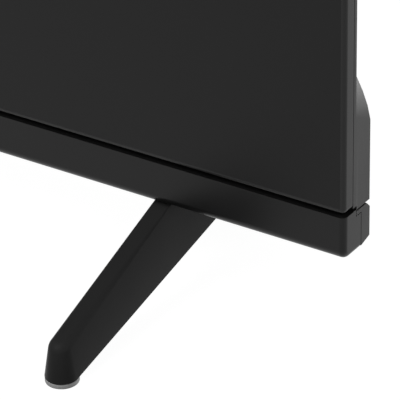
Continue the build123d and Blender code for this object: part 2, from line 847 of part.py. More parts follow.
def socket(sign, mid_z, width, height, length, mouth_width, mouth_height, mouth_depth):
    """Socket on a board: a box flush with the wall of its bay, with its mouth cut in sideways."""
    outer = sign * bay_wall_x
    inner = sign * (bay_wall_x - length)
    depth_mid = board_back + height / 2
    slab(board_back, board_back + height, min(outer, inner), max(outer, inner),
         mid_z - width / 2, mid_z + width / 2)
    bottom = sign * (bay_wall_x - mouth_depth)
    slab(depth_mid - mouth_height / 2, depth_mid + mouth_height / 2, min(outer, bottom),
         max(outer, bottom), mid_z - mouth_width / 2, mid_z + mouth_width / 2, mode=Mode.SUBTRACT)


with BuildPart() as hdmi_sockets:
    for z in hdmi_places:
        socket(-1, z, hdmi_width, hdmi_height, hdmi_length,
               hdmi_mouth_width, hdmi_mouth_height, socket_mouth_depth)
keep(hdmi_sockets, "hdmi_sockets")

with BuildPart() as usb_sockets:
    for z in usb_places:
        socket(-1, z, usb_width, usb_height, usb_length,
               usb_mouth_width, usb_mouth_height, socket_mouth_depth)
keep(usb_sockets, "usb_sockets")

with BuildPart() as network_socket:
    socket(-1, network_z, network_width, network_height, network_length,
           network_mouth_width, network_mouth_height, network_mouth_depth)
keep(network_socket, "network_socket")

with BuildPart() as audio_jack:
    slab(board_back, board_back + jack_height, -bay_wall_x, jack_length - bay_wall_x,
         jack_z - jack_width / 2, jack_z + jack_width / 2)
    with BuildSketch(side(-bay_wall_x)) as jack_mouth:
        with Locations((jack_mid, jack_z)):
            Circle(jack_radius)
    extrude(jack_mouth.sketch, amount=jack_bore_depth, mode=Mode.SUBTRACT)
keep(audio_jack, "audio_jack")

with BuildPart() as power_inlet:
    socket(1, inlet_z, inlet_width, inlet_height, inlet_length,
           inlet_mouth_width, inlet_mouth_height, inlet_mouth_depth)
    with BuildSketch(side(bay_wall_x - fit_gap)) as pins:
        with Locations((inlet_mid, inlet_z)):
            with GridLocations(inlet_pin_pitch, inlet_pin_pitch, 1, 2):
                Circle(inlet_pin_radius)
    extrude(pins.sketch, amount=fit_gap - inlet_mouth_depth - inlet_pin_radius)
keep(power_inlet, "power_inlet")

# Tuner in its screened can, with the threaded aerial socket on its end
with BuildPart() as tuner_can:
    slab(board_back, board_back + tuner_height, main_left, main_left + tuner_length,
         antenna_z - tuner_width / 2, antenna_z + tuner_width / 2)
keep(tuner_can, "tuner_can")

with BuildPart() as antenna_socket:
    for end, start, radius in ((-bay_wall_x, main_left, antenna_neck_radius),
                               (-bay_wall_x - antenna_reach, -bay_wall_x, antenna_radius)):
        with BuildSketch(side(end)) as barrel:
            with Locations((tuner_mid, antenna_z)):
                Circle(radius)
        extrude(barrel.sketch, amount=start - end)
    with BuildSketch(side(-bay_wall_x - antenna_reach)) as contact:
        with Locations((tuner_mid, antenna_z)):
            Circle(antenna_bore_radius)
    extrude(contact.sketch, amount=antenna_bore_depth, mode=Mode.SUBTRACT)
keep(antenna_socket, "antenna_socket")

# Processor and its finned heat sink
chip_back = board_back + chip_height
chip_x = main_left + chip_inset
with BuildPart() as processor:
    slab(board_back, chip_back, chip_x - chip_size / 2, chip_x + chip_size / 2,
         chip_z - chip_size / 2, chip_z + chip_size / 2)
keep(processor, "processor")

fin_pitch = (heatsink_size - fin_thickness) / (heatsink_fins - 1)
with BuildPart() as processor_heatsink:
    with BuildSketch(level(chip_z - heatsink_size / 2)) as comb:
        span(chip_x - heatsink_size / 2, chip_x + heatsink_size / 2, chip_back, chip_back + heatsink_base)
        with Locations((chip_x, chip_back + heatsink_height / 2)):
            with GridLocations(fin_pitch, heatsink_height, heatsink_fins, 1):
                Rectangle(fin_thickness, heatsink_height)
    extrude(comb.sketch, amount=heatsink_size)
keep(processor_heatsink, "processor_heatsink")

# Power board: two transformers, smoothing capacitors and folded heat sinks
power_mid_z = (power_board_bottom_z + power_top_z) / 2
pair_z = (power_mid_z - transformer_pitch / 2, power_mid_z + transformer_pitch / 2)
core_wall = (transformer_width - transformer_window) / 2
transformer_x = power_left + transformer_inset
capacitor_x = power_left + capacitor_inset
power_sink_x = power_left + power_sink_inset
with BuildPart() as transformers:
    for z in pair_z:
        slab(board_back, board_back + transformer_height, transformer_x - transformer_width / 2,
             transformer_x + transformer_width / 2, z - core_wall, z + core_wall)
        slab(board_back, board_back + transformer_height - core_wall / 2,
             transformer_x - transformer_window / 2, transformer_x + transformer_window / 2,
             z - transformer_length / 2, z + transformer_length / 2)
keep(transformers, "transformers")

with BuildPart() as power_capacitors:
    peg(board_back, board_back + capacitor_height,
        [(capacitor_x + capacitor_pitch * (i - (capacitor_count - 1) / 2), capacitor_z)
         for i in range(capacitor_count)], capacitor_radius)
keep(power_capacitors, "power_capacitors")

with BuildPart() as power_heatsinks:
    for z in pair_z:
        low = z - power_sink_length / 2
        high = z + power_sink_length / 2
        sink_back = board_back + power_sink_height
        slab(board_back, sink_back, power_sink_x, power_sink_x + power_sink_thickness, low, high)
        slab(sink_back - power_sink_thickness, sink_back, power_sink_x,
             power_sink_x + power_sink_flange, low, high)
keep(power_heatsinks, "power_heatsinks")

# Source board along the bottom of the glass, and the ribbons that join the two
flex_top_z = inner_low_z
flex_low_z = flex_top_z - flex_thickness
flex_pitch = source_board_width / flex_count
source_front = chin_ledge_depth + cover_wall + fit_gap
with BuildPart() as source_board:
    with BuildSketch(level(flex_low_z - board_thickness)) as strip:
        span(-source_board_width / 2, source_board_width / 2, source_front,
             source_front + source_board_reach)
    extrude(strip.sketch, amount=board_thickness)
keep(source_board, "source_board")

with BuildPart() as panel_ribbons:
    flex_length = source_front + flex_lap - glass_back
    with BuildSketch(level(flex_low_z)) as flexes:
        with Locations((0, glass_back + flex_length / 2)):
            with GridLocations(flex_pitch, flex_length, flex_count, 1):
                Rectangle(flex_width, flex_length)
    extrude(flexes.sketch, amount=flex_thickness)
keep(panel_ribbons, "panel_ribbons")

# Flat cables from the timing board to the source board and to the main board
cable_low_z = flex_low_z + fit_gap
cable_back = board_back + flat_cable_thickness
cable_front = source_front + source_board_reach - flat_cable_lap
with BuildPart() as panel_cables:
    for x in (-flat_cable_pitch / 2, flat_cable_pitch / 2):
        with BuildSketch(side(x - flat_cable_width / 2)) as bent:
            span(cable_front, cable_back, cable_low_z, cable_low_z + flat_cable_thickness)
            span(board_back, cable_back, cable_low_z, timing_low_z + flat_cable_lap)
        extrude(bent.sketch, amount=flat_cable_width)
keep(panel_cables, "panel_cables")

signal_mid_z = (main_board_bottom_z + timing_high_z) / 2
with BuildPart() as signal_cable:
    slab(board_back, cable_back, main_right - flat_cable_lap,
         flat_cable_lap - timing_board_width / 2,
         signal_mid_z - flat_cable_width / 2, signal_mid_z + flat_cable_width / 2)
keep(signal_cable, "signal_cable")

with BuildPart() as wireless_module:
    slab(tray_back_depth, tray_back_depth + wireless_thickness, wireless_x - wireless_width / 2,
         wireless_x + wireless_width / 2, wireless_z - wireless_height / 2,
         wireless_z + wireless_height / 2)
keep(wireless_module, "wireless_module")

# Leads between the boards, each with its plug standing on the board
plug_mid = board_back + plug_height / 2


def plug(x_low, z_low):
    slab(board_back, board_back + plug_height, x_low, x_low + plug_width, z_low, z_low + plug_length)


with BuildPart() as power_harness:
    plug(main_right - plug_width, power_wire_z - plug_length / 2)
    plug(power_left, power_wire_z - plug_length / 2)
    with BuildSketch(side(main_right)) as power_lead:
        with Locations((plug_mid, power_wire_z)):
            Circle(wire_radius)
    extrude(power_lead.sketch, amount=power_left - main_right)
keep(power_harness, "power_harness")

clip_back = plug_mid + wire_radius + fit_gap + clip_wall
clip_pitch = (power_left - main_right) / (clip_count + 1)
with BuildPart() as cable_clips:
    for i in range(clip_count):
        x = clip_pitch * (i - (clip_count - 1) / 2)
        slab(tray_back_depth, clip_back, x - clip_size / 2, x + clip_size / 2,
             power_wire_z - clip_size / 2, power_wire_z + clip_size / 2)
        with BuildSketch(side(x - clip_size / 2)) as eye:
            with Locations((plug_mid, power_wire_z)):
                Circle(wire_radius + fit_gap)
        extrude(eye.sketch, amount=clip_size, mode=Mode.SUBTRACT)
keep(cable_clips, "cable_clips")

light_wire_x = power_left - light_wire_reach
with BuildPart() as light_harness:
    plug(power_left, light_wire_z - plug_length / 2)
    wire(at(power_left, plug_mid, light_wire_z), at(light_wire_x, plug_mid, light_wire_z),
         at(light_wire_x, tray_back_depth, light_wire_z))
keep(light_harness, "light_harness")

floor_wire_z = bulge_underside_z + cover_wall + wire_radius + fit_gap * 2
speaker_wire_x = speaker_wire_inset - main_right
left_wire_x = speaker_wire_x + speaker_wire_pitch
speaker_inner_x = speaker_x - speaker_width / 2
with BuildPart() as speaker_harness:
    slab(board_back, board_back + plug_height, -left_wire_x - plug_width / 2,
         plug_width / 2 - speaker_wire_x, main_board_bottom_z, main_board_bottom_z + plug_length)
    wire(at(speaker_inner_x, plug_mid, floor_wire_z), at(-speaker_wire_x, plug_mid, floor_wire_z),
         at(-speaker_wire_x, plug_mid, main_board_bottom_z))
    wire(at(-speaker_inner_x, plug_mid, left_wire_z), at(-left_wire_x, plug_mid, left_wire_z),
         at(-left_wire_x, plug_mid, main_board_bottom_z))
keep(speaker_harness, "speaker_harness")

# Speaker boxes, which sound downwards through the slots
box_low_z = bulge_underside_z + cover_wall + fit_gap
speaker_back_depth = speaker_front_depth + speaker_depth
driver_seat_z = box_low_z + speaker_wall
for name, middle in (("left_speaker_box", -speaker_x), ("right_speaker_box", speaker_x)):
    with BuildPart() as speaker_box:
        with BuildSketch(level(box_low_z)) as outside:
            span(middle - speaker_width / 2, middle + speaker_width / 2,
                 speaker_front_depth, speaker_back_depth, speaker_round)
        extrude(outside.sketch, amount=speaker_height)
        with BuildSketch(level(driver_seat_z)) as inside:
            span(middle - speaker_width / 2 + speaker_wall, middle + speaker_width / 2 - speaker_wall,
                 speaker_front_depth + speaker_wall, speaker_back_depth - speaker_wall,
                 speaker_round - speaker_wall)
        extrude(inside.sketch, amount=speaker_height - speaker_wall * 2, mode=Mode.SUBTRACT)
        with BuildSketch(level(box_low_z)) as sound_hole:
            with Locations((middle, speaker_mid)):
                Circle(driver_radius - driver_rim)
        extrude(sound_hole.sketch, amount=speaker_wall, mode=Mode.SUBTRACT)
    keep(speaker_box, name)

basket_top_z = driver_seat_z + driver_basket_height
magnet_top_z = basket_top_z + magnet_height
basket_low_z = basket_top_z - driver_wall
throat_radius = driver_radius - driver_rim
with BuildPart() as speaker_drivers:
    for middle in (-speaker_x, speaker_x):
        turn(middle, speaker_mid,
             (throat_radius, driver_seat_z), (driver_radius, driver_seat_z),
             (driver_radius, driver_seat_z + driver_rim), (magnet_radius, basket_top_z),
             (magnet_radius, magnet_top_z), (0, magnet_top_z), (0, basket_low_z),
             (magnet_radius - driver_wall, basket_low_z))
keep(speaker_drivers, "speaker_drivers")

cone_edge = throat_radius - fit_gap
cone_low_z = driver_seat_z + fit_gap
cone_top_z = cone_low_z + cone_height
with BuildPart() as speaker_cones:
    for middle in (-speaker_x, speaker_x):
        turn(middle, speaker_mid,
             (cone_edge, cone_low_z), (dome_radius, cone_top_z), (0, cone_top_z - cone_thickness),
             (0, cone_top_z - cone_thickness * 2), (dome_radius, cone_top_z - cone_thickness),
             (cone_edge - cone_thickness, cone_low_z - cone_thickness))
keep(speaker_cones, "speaker_cones")

# Remote receiver behind its window in the chin
with BuildPart() as ir_window:
    slab(0, chin_wall, (fit_gap - window_width) / 2, (window_width - fit_gap) / 2,
         window_mid_z - (window_height - fit_gap) / 2, window_mid_z + (window_height - fit_gap) / 2,
         window_radius - fit_gap / 2)
keep(ir_window, "ir_window")

ir_front = chin_wall + ir_board_gap
with BuildPart() as ir_board:
    slab(ir_front, ir_front + board_thickness, -ir_board_width / 2, ir_board_width / 2,
         chin_underside_z + chin_wall + fit_gap, chin_underside_z + chin_wall + fit_gap + ir_board_height)
    peg(chin_wall + fit_gap * 2, ir_front, [(0, window_mid_z)], ir_dome_radius)
keep(ir_board, "ir_board")

# Keys: caps in the cover, a board with one switch behind each cap
with BuildPart() as key_board:
    slab(key_board_back - board_thickness, key_board_back, key_x - key_board_width / 2,
         key_x + key_board_width / 2, key_board_low_z, key_board_high_z)
keep(key_board, "key_board")

with BuildPart() as key_switches:
    for z in key_places:
        slab(key_board_back, switch_top, key_x - switch_size / 2, key_x + switch_size / 2,
             z - switch_size / 2, z + switch_size / 2)
    peg(switch_top, plunger_top, [(key_x, z) for z in key_places], switch_plunger_radius)
keep(key_switches, "key_switches")

for name, z in zip(key_names, key_places):
    with BuildPart() as key:
        slab(key_flange_front + key_flange_thickness, bulge_depth + key_proud, key_x - key_width / 2,
             key_x + key_width / 2, z - key_height / 2, z + key_height / 2)
        fillet(key.faces().sort_by(Axis.Y)[-1].edges(), key_edge_radius)
        slab(key_flange_front, key_flange_front + key_flange_thickness,
             key_x - key_width / 2 - key_flange, key_x + key_width / 2 + key_flange,
             z - key_height / 2 - key_flange, z + key_height / 2 + key_flange)
        peg(key_flange_front - key_stem_length, key_flange_front, [(key_x, z)], key_stem_radius)
    keep(key, f"{name}_key")

# Legs: two struts and a seat from one run of sloping sections, with both ends rounded to a toe
leg_strut_top_z = chin_underside_z - fit_gap
leg_seat_z = bulge_underside_z - fit_gap
front_toe = toe_radius - toe_reach
rear_toe = leg_span - toe_reach - toe_radius
leg_widths = (leg_top_width, leg_foot_width)
toe_widths = (toe_top_radius * 2, toe_radius * 2)
front_fall = (leg_strut_top_z - toe_height) / (leg_root_depth - front_toe) * toe_radius
rear_fall = (leg_strut_top_z - toe_height) / (rear_toe - leg_heel_depth) * toe_radius
leg_sections = (
    (front_toe - toe_radius, leg_splay, toe_height - front_fall, pad_height, *toe_widths),
    (front_toe, leg_splay, toe_height, pad_height, *toe_widths),
    (leg_root_depth, 0, leg_strut_top_z, leg_root_low_z, *leg_widths),
    (leg_crotch_depth, 0, leg_strut_top_z, leg_crotch_z, *leg_widths),
    (leg_heel_depth, 0, leg_strut_top_z, leg_heel_low_z, *leg_widths),
    (rear_toe, 0, toe_height, pad_height, *toe_widths),
    (rear_toe + toe_radius, 0, toe_height - rear_fall, pad_height, *toe_widths),
)
screw_seat_z = leg_seat_z - leg_screw_grip
for name, hand in (("left_leg", -1), ("right_leg", 1)):
    middle = hand * leg_x
    toe_x = hand * (leg_x + leg_splay)
    sections = []
    for depth, splay, high, low, high_width, low_width in leg_sections:
        centre = middle + hand * splay
        with BuildSketch(layer(depth)) as outline:
            with BuildLine():
                Polyline((centre - high_width / 2, high), (centre + high_width / 2, high),
                         (centre + low_width / 2, low), (centre - low_width / 2, low), close=True)
            make_face()
            chamfer(outline.vertices(), leg_edge_chamfer)
        sections.append(outline.sketch)
    with BuildPart() as toes:
        for x, depth in ((toe_x, front_toe), (middle, rear_toe)):
            turn(x, depth, (0, 0), (toe_radius, 0), (toe_radius, pad_height),
                 (toe_top_radius, toe_height), (0, toe_height))
    with BuildPart() as tips:
        for depth, x in ((front_toe - toe_radius - overrun, toe_x), (rear_toe, middle)):
            slab(depth, depth + toe_radius + overrun, x - leg_foot_width, x + leg_foot_width, 0, toe_height)
        add(toes.part, mode=Mode.SUBTRACT)
    with BuildPart() as leg:
        loft(sections, ruled=True)
        add(tips.part, mode=Mode.SUBTRACT)
        slab(leg_seat_front, leg_seat_back, middle - leg_top_width / 2, middle + leg_top_width / 2,
             leg_strut_top_z - leg_edge_chamfer, leg_seat_z)
        with BuildSketch(level(leg_seat_z)) as shanks:
            with Locations(*[(middle, depth) for depth in leg_screw_depths]):
                Circle(leg_screw_radius + fit_gap)
        extrude(shanks.sketch, amount=-leg_seat_z, mode=Mode.SUBTRACT)
        with BuildSketch(level(screw_seat_z)) as wells:
            with Locations(*[(middle, depth) for depth in leg_screw_depths]):
                Circle(leg_screw_head_radius + fit_gap)
        extrude(wells.sketch, amount=-screw_seat_z, mode=Mode.SUBTRACT)
    keep(leg, name)

with BuildPart() as foot_pads:
    with BuildSketch(level(0)) as pads:
        with Locations(*[(i * (leg_x + splay), depth) for i in (-1, 1)
                         for splay, depth in ((leg_splay, front_toe), (0, rear_toe))]):
            Circle(pad_radius)
    extrude(pads.sketch, amount=pad_height)
keep(foot_pads, "foot_pads")

bracket_front = leg_seat_front + bracket_thickness * 2
bracket_low_z = bulge_underside_z + cover_wall + fit_gap
bracket_floor_z = bracket_low_z + bracket_thickness
nut_top_z = bracket_floor_z + leg_nut_height
with BuildPart() as leg_brackets:
    for middle in (-leg_x, leg_x):
        with BuildSketch(side(middle - bracket_width / 2)) as angle:
            span(bracket_front, leg_seat_back, bracket_low_z, bracket_floor_z)
            span(bracket_front, bracket_front + bracket_thickness,
                 bracket_low_z, bracket_low_z + bracket_height)
        extrude(angle.sketch, amount=bracket_width)
    with BuildSketch(level(bracket_floor_z)) as nuts:
        with Locations(*leg_screw_places):
            RegularPolygon(leg_nut_radius, hex_sides)
    extrude(nuts.sketch, amount=leg_nut_height)
    with BuildSketch(level(bracket_low_z)) as nut_holes:
        with Locations(*leg_screw_places):
            Circle(leg_screw_radius + fit_gap)
    extrude(nut_holes.sketch, amount=nut_top_z - bracket_low_z, mode=Mode.SUBTRACT)
keep(leg_brackets, "leg_brackets")

with BuildPart() as leg_screws:
    with BuildSketch(level(screw_seat_z)) as screw_shanks:
        with Locations(*leg_screw_places):
            Circle(leg_screw_radius)
    extrude(screw_shanks.sketch, amount=nut_top_z - screw_seat_z)
    with BuildSketch(level(screw_seat_z)) as screw_heads:
        with Locations(*leg_screw_places):
            Circle(leg_screw_head_radius)
    extrude(screw_heads.sketch, amount=-leg_screw_head_height)
keep(leg_screws, "leg_screws")
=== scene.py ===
import random
from math import atan2, cos, pi, radians, sin

import bmesh
import bpy
from bpy.props import FloatProperty, FloatVectorProperty, PointerProperty
from mathutils import Matrix, Vector


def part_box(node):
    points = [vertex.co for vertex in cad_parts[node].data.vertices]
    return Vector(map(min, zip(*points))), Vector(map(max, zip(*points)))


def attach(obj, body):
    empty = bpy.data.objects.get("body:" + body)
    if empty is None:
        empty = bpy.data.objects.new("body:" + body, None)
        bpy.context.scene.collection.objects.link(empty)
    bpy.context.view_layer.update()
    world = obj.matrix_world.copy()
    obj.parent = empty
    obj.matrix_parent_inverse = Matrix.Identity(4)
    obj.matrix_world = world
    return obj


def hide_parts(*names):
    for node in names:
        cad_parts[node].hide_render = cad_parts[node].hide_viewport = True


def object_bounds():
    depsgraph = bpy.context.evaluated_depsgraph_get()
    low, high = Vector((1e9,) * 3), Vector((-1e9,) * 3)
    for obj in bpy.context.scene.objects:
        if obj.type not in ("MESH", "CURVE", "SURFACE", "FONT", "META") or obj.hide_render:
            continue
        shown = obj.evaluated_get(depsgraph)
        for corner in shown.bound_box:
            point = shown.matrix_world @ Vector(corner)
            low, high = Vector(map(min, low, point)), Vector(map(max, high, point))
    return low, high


# Looks of a flat television on two screwed-on legs: finishes, small parts, stage and camera.
# Lengths are metres. X is to the viewer's right, Y runs from the viewer to the wall, Z is up.

bl_info = {
    "name": "Flat television",
    "version": (1, 0, 0),
    "blender": (4, 5, 0),
    "location": "3D View > Sidebar > Television",
    "description": "Finishes, small parts, stage and camera for a flat television on two legs",
    "category": "Object",
}

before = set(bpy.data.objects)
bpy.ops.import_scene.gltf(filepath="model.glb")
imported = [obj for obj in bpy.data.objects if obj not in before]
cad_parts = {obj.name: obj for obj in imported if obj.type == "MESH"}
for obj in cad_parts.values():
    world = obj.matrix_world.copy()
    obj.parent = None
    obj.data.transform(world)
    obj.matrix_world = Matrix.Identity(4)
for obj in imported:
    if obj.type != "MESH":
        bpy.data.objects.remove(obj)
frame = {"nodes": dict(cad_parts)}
NODES = frame["nodes"]
CAD_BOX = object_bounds()
TO_WALL = (radians(-90), 0, 0)
TO_FLOOR = (radians(180), 0, 0)
TO_LEFT = (0, radians(-90), 0)
# how close points of a CAD mesh, of a cut, of a leg and of the rim's line count as one
MERGE_GAP, CUT_GAP, LEG_GAP, LINE_GAP = 0.000002, 0.000001, 0.000005, 0.00001
FLAT_TURN, SHARP_TURN = radians(0.5), radians(25)
FACE_WEIGHT = 50
BAR_SIDES = 32
# steps round the lower and upper edges of a leg and round a toe
FOOT_STEPS, TOP_STEPS, TOE_STEPS = 3, 8, 24
FOOT_EASING = 0.08
SEAT_WIDTH = 1.9
# shares of a screw's head: base and top of its crown, depth and length of the recess
CROWN_BASE, CROWN_TOP, RECESS_DEPTH, RECESS_LENGTH = 0.45, 0.72, 0.7, 1.1
# shapes that meet overlap or fall short by a hair, so that no two faces coincide
OVER, SHORT, THREAD_SHORT = 1.02, 0.998, 0.999
SECOND_SLOT, SHANK_TOP, SECOND_STROKE = 0.9, 0.95, 0.875
# where the widening cone of a thread's turn ends and the narrowing one starts
WIDEST, NARROWING = 0.5, 0.48
# phosphor of a light chip, and body and ends of a small part, as shares of their sizes
PHOSPHOR_WIDTH, PHOSPHOR_HEIGHT = 0.7, 1.4
PART_BODY, PART_END, PART_END_PLACE, PART_END_HEIGHT = 0.7, 0.2, 0.4, 2.05
PART_SPREAD, PART_STRAY, PART_CHANCE = 0.25, 0.2, 0.6
PART_SEED, SPIN_SEED, SPREAD_SEED = 5, 7, 11
CONTACT_LENGTH = 10
SENSOR_WIDTH = 36
LAMP_AIM = (0.38, 0, 0.1)
# name, place, width and height of each lamp, and the setting that gives its power
LAMPS = (("key_lamp", (-0.6, -1.9, 2.4), (1.8, 1.8), "key_power"),
         ("side_lamp", (2.2, -0.6, 1.3), (1.2, 1.2), "side_power"),
         ("rim_lamp", (1.35, 2.3, 0.3), (1.8, 0.6), "rim_power"))
# slots that keep the plain material of the CAD model
PLAIN_SLOTS = ("pad_rubber", "white_sheet", "clear_lens", "winding_tape", "cone_paper")
# what stands on each board and keeps small parts away
ON_BOARDS = {
    "main_board": ("processor_heatsink", "tuner_can", "hdmi_sockets", "usb_sockets",
                   "network_socket", "audio_jack", "wireless_module", "signal_cable",
                   "speaker_harness", "power_harness", "board_screws"),
    "power_board": ("transformers", "power_capacitors", "power_heatsinks", "power_inlet",
                    "power_harness", "light_harness", "board_screws"),
}
# number of contacts, and where the contact carrier starts as a share of the depth
SOCKETS = {"hdmi_sockets": (8, 0.4), "usb_sockets": (4, 0.3), "network_socket": (8, 0.25)}
# x, z, width, height and turn of each stroke of the marks, in stroke widths and degrees
RING_RADIUS = 3
MARK_RING = [(sin(radians(turn)) * RING_RADIUS, cos(radians(turn)) * RING_RADIUS, 1.2, 1, turn)
             for turn in range(40, 321, 20)]
MARKS = {"power": [(0, 2.6, 1, 3.2, 0), *MARK_RING],
         "input": [(-3, 0, 1, 6, 0), (0, 3, 7, 1, 0), (3, 0, 1, 6, 0), (0, -3, 7, 1, 0)],
         "channel_up": [(-1.5, 0, 1, 5, -45), (1.5, 0, 1, 5, 45)],
         "channel_down": [(-1.5, 0, 1, 5, 45), (1.5, 0, 1, 5, -45)],
         "volume_up": [(0, 0, 6, 1, 0), (0, 0, 1, 6, 0)],
         "volume_down": [(0, 0, 6, 1, 0)]}


def length(name, description, default):
    """Property for a size of the object or the stage."""
    return FloatProperty(name=name, description=description, default=default, min=0,
                         precision=5, subtype="DISTANCE", unit="LENGTH")


def angle(name, description, default):
    """Property for an angle, given in degrees."""
    return FloatProperty(name=name, description=description, default=radians(default),
                         subtype="ANGLE", unit="ROTATION")


def share(name, description, default):
    """Property for a plain number without a unit."""
    return FloatProperty(name=name, description=description, default=default, min=0)


def colour(name, description, default):
    """Property for a linear colour; a single number gives a grey."""
    if isinstance(default, float):
        default = (default, default, default)
    return FloatVectorProperty(name=name, description=description, default=default,
                               min=0, max=1, size=3, subtype="COLOR")


class TelevisionStage(bpy.types.PropertyGroup):
    """Camera, lamps, floor and surroundings."""

    camera_azimuth: angle("Camera azimuth", "Turn of the camera round the set", 33.641)
    camera_elevation: angle("Camera elevation", "Height of the camera above the horizon", 29.536)
    camera_roll: angle("Camera roll", "Tilt of the picture about the viewing line", -1.154)
    camera_place: FloatVectorProperty(
        name="Camera place", description="Point that the camera stands at",
        default=(1.0696, -1.0192, 0.7430), subtype="TRANSLATION", unit="LENGTH")
    camera_lens: share("Camera lens", "Focal length in millimetres on a 36 mm sensor", 270)
    floor_width: length("Floor width", "Side of the square floor", 60)
    floor_grey: share("Floor grey", "Share of light that the floor sends back", 0.2)
    floor_lift: share("Floor lift", "Light added to the floor where it is looked at", 0.94)
    sky_grey: share("Surroundings", "Light of the surroundings on the object", 0.35)
    key_power: share("Key lamp", "Power of the large soft lamp, in watts", 40)
    side_power: share("Side lamp", "Power of the soft lamp to the right, in watts", 3)
    rim_power: share("Rim lamp", "Power of the soft lamp behind the set, in watts", 34)


class TelevisionColours(bpy.types.PropertyGroup):
    """Colours of the finishes."""

    screen: colour("Screen", "Polariser over the glass", 0.006)
    frame: colour("Frame", "Frame round the glass", 0.009)
    chin: colour("Chin", "Strip below the glass", 0.009)
    cover: colour("Cover", "Moulded rear cover", 0.012)
    leg: colour("Leg", "Legs", 0.027)
    moulding: colour("Moulding", "Black inner mouldings", 0.02)
    key: colour("Key", "Keys on the back", 0.02)
    mark: colour("Mark", "Raised marks on the keys", 0.5)
    window: colour("Receiver window", "Smoked receiver window", (0.012, 0.004, 0.005))
    steel: colour("Steel", "Galvanised tray, brackets and posts", (0.30, 0.305, 0.31))
    tin: colour("Tinned steel", "Socket shells and tuner can", (0.68, 0.67, 0.64))
    black_screw: colour("Black screw", "Blackened screws", 0.035)
    aluminium: colour("Aluminium", "Heat sinks", (0.72, 0.72, 0.73))
    mask: colour("Solder mask", "Lacquer of the boards", (0.012, 0.10, 0.045))
    copper: colour("Copper", "Traces under the lacquer", (0.05, 0.19, 0.06))
    brass: colour("Brass", "Plated aerial socket and contacts", (0.72, 0.56, 0.27))
    amber: colour("Amber film", "Ribbons of the glass", (0.42, 0.19, 0.03))
    flat_cable: colour("Flat cable", "White flat cables", (0.72, 0.72, 0.70))
    wire: colour("Wire jacket", "Insulated leads", (0.45, 0.03, 0.02))
    phosphor: colour("Phosphor", "Light chips", (0.85, 0.62, 0.10))


class TelevisionSizes(bpy.types.PropertyGroup):
    """Sizes of what the CAD model leaves to this file."""

    trim_edge: length("Trim edge", "Rounding of the edges of frame and chin", 0.0003)
    cover_edge: length("Cover edge", "Rounding of the edges of the rear cover", 0.0004)
    film_margin: length("Film margin", "Rim of the glass that its front film leaves bare", 0.0007)
    film_rise: length("Film rise", "How far the front film stands on the glass", 0.00072)
    film_edge: length("Film edge", "Rounding of the edges of the film", 0.00005)
    rim_line: length("Rim line", "Where the sides of the cover turn in, behind the chin", 0.0096)
    rim_line_end: length("Rim line end", "Where the sides of the cover are set in", 0.0121)
    rim_step: length("Rim step", "How far the sides are set in behind the rim", 0.0003)
    leg_edge: length("Leg edge", "Rounding of the edges of the legs", 0.0006)
    leg_foot: length("Leg foot", "Half width of a leg along its foot", 0.0082)
    leg_crown: length("Leg crown", "Half width of a leg along its top, before rounding", 0.00455)
    toe_crown: length("Toe crown", "Half width of a toe at its top, before rounding", 0.0053)
    toe_top: length("Toe top", "Height of the top line at the axis of a toe", 0.0222)
    toe_easing: length("Toe rounding", "Rounding of the top edges at the toes", 0.0042)
    strut_top: length("Strut top", "Height of the top of a leg under the set", 0.051)
    root_depth: length("Root depth", "Where a leg starts to fall, behind the chin", 0.0062)
    root_low: length("Root underside", "Height of the underside at the root", 0.0202)
    crotch_depth: length("Crotch depth", "Where the underside is highest, behind the chin", 0.045)
    crotch_low: length("Crotch underside", "Height of the underside where it is highest", 0.029)
    heel_depth: length("Heel depth", "Where the rear strut starts, behind the chin", 0.062)
    heel_low: length("Heel underside", "Height of the underside at the heel", 0.0225)
    seat_front: length("Seat front", "Where the seat of a leg starts, behind the chin", 0.024)
    leg_row: length("Leg row", "Spacing of the sections along a leg", 0.005)
    well_gap: length("Well gap", "Play round the screws in the wells of a leg", 0.0003)
    leg_head: length("Leg screw head", "Height of the head of a leg screw", 0.0026)
    leg_shank: length("Leg screw shank", "Radius of the shank of a leg screw", 0.002)
    key_edge: length("Key edge", "Rounding of the edges of the keys", 0.0003)
    recess_share: share("Recess width", "Arm of the cross recess per head radius", 0.28)
    thread_pitch: length("Thread pitch", "Pitch of the thread on the aerial socket", 0.0008)
    thread_depth: length("Thread depth", "Depth of the thread on the aerial socket", 0.0004)
    neck_length: length("Neck length", "Neck of the aerial socket beside the tuner", 0.0037)
    cover_head: length("Cover screw head", "Height of the head of a cover screw", 0.0022)
    cover_shank: length("Cover screw shank", "Radius of the shank of a cover screw", 0.0019)
    board_head: length("Board screw head", "Height of the head of a board screw", 0.0018)
    board_shank: length("Board screw shank", "Radius of the shank of a board screw", 0.0015)
    chip_width: length("Light chip", "Side of a light chip under its lens", 0.003)
    chip_height: length("Light chip height", "Height of a light chip", 0.0006)
    part_length: length("Small part length", "Length of a small part on a board", 0.0032)
    part_width: length("Small part width", "Width of a small part on a board", 0.0016)
    part_height: length("Small part height", "Height of a small part on a board", 0.0009)
    part_pitch: length("Part pitch", "Spacing of the small parts on a board", 0.009)
    tongue: length("Tongue", "Thickness of the contact carrier in a socket", 0.0011)
    contact_width: length("Contact width", "Width of a socket contact", 0.0006)
    contact_height: length("Contact height", "How far a socket contact stands up", 0.0002)
    contact_pitch: length("Contact pitch", "Spacing of the contacts in a socket", 0.0012)
    mark_width: length("Mark width", "Stroke of the marks on the keys", 0.0006)
    mark_height: length("Mark height", "Height of the marks above the keys", 0.00015)


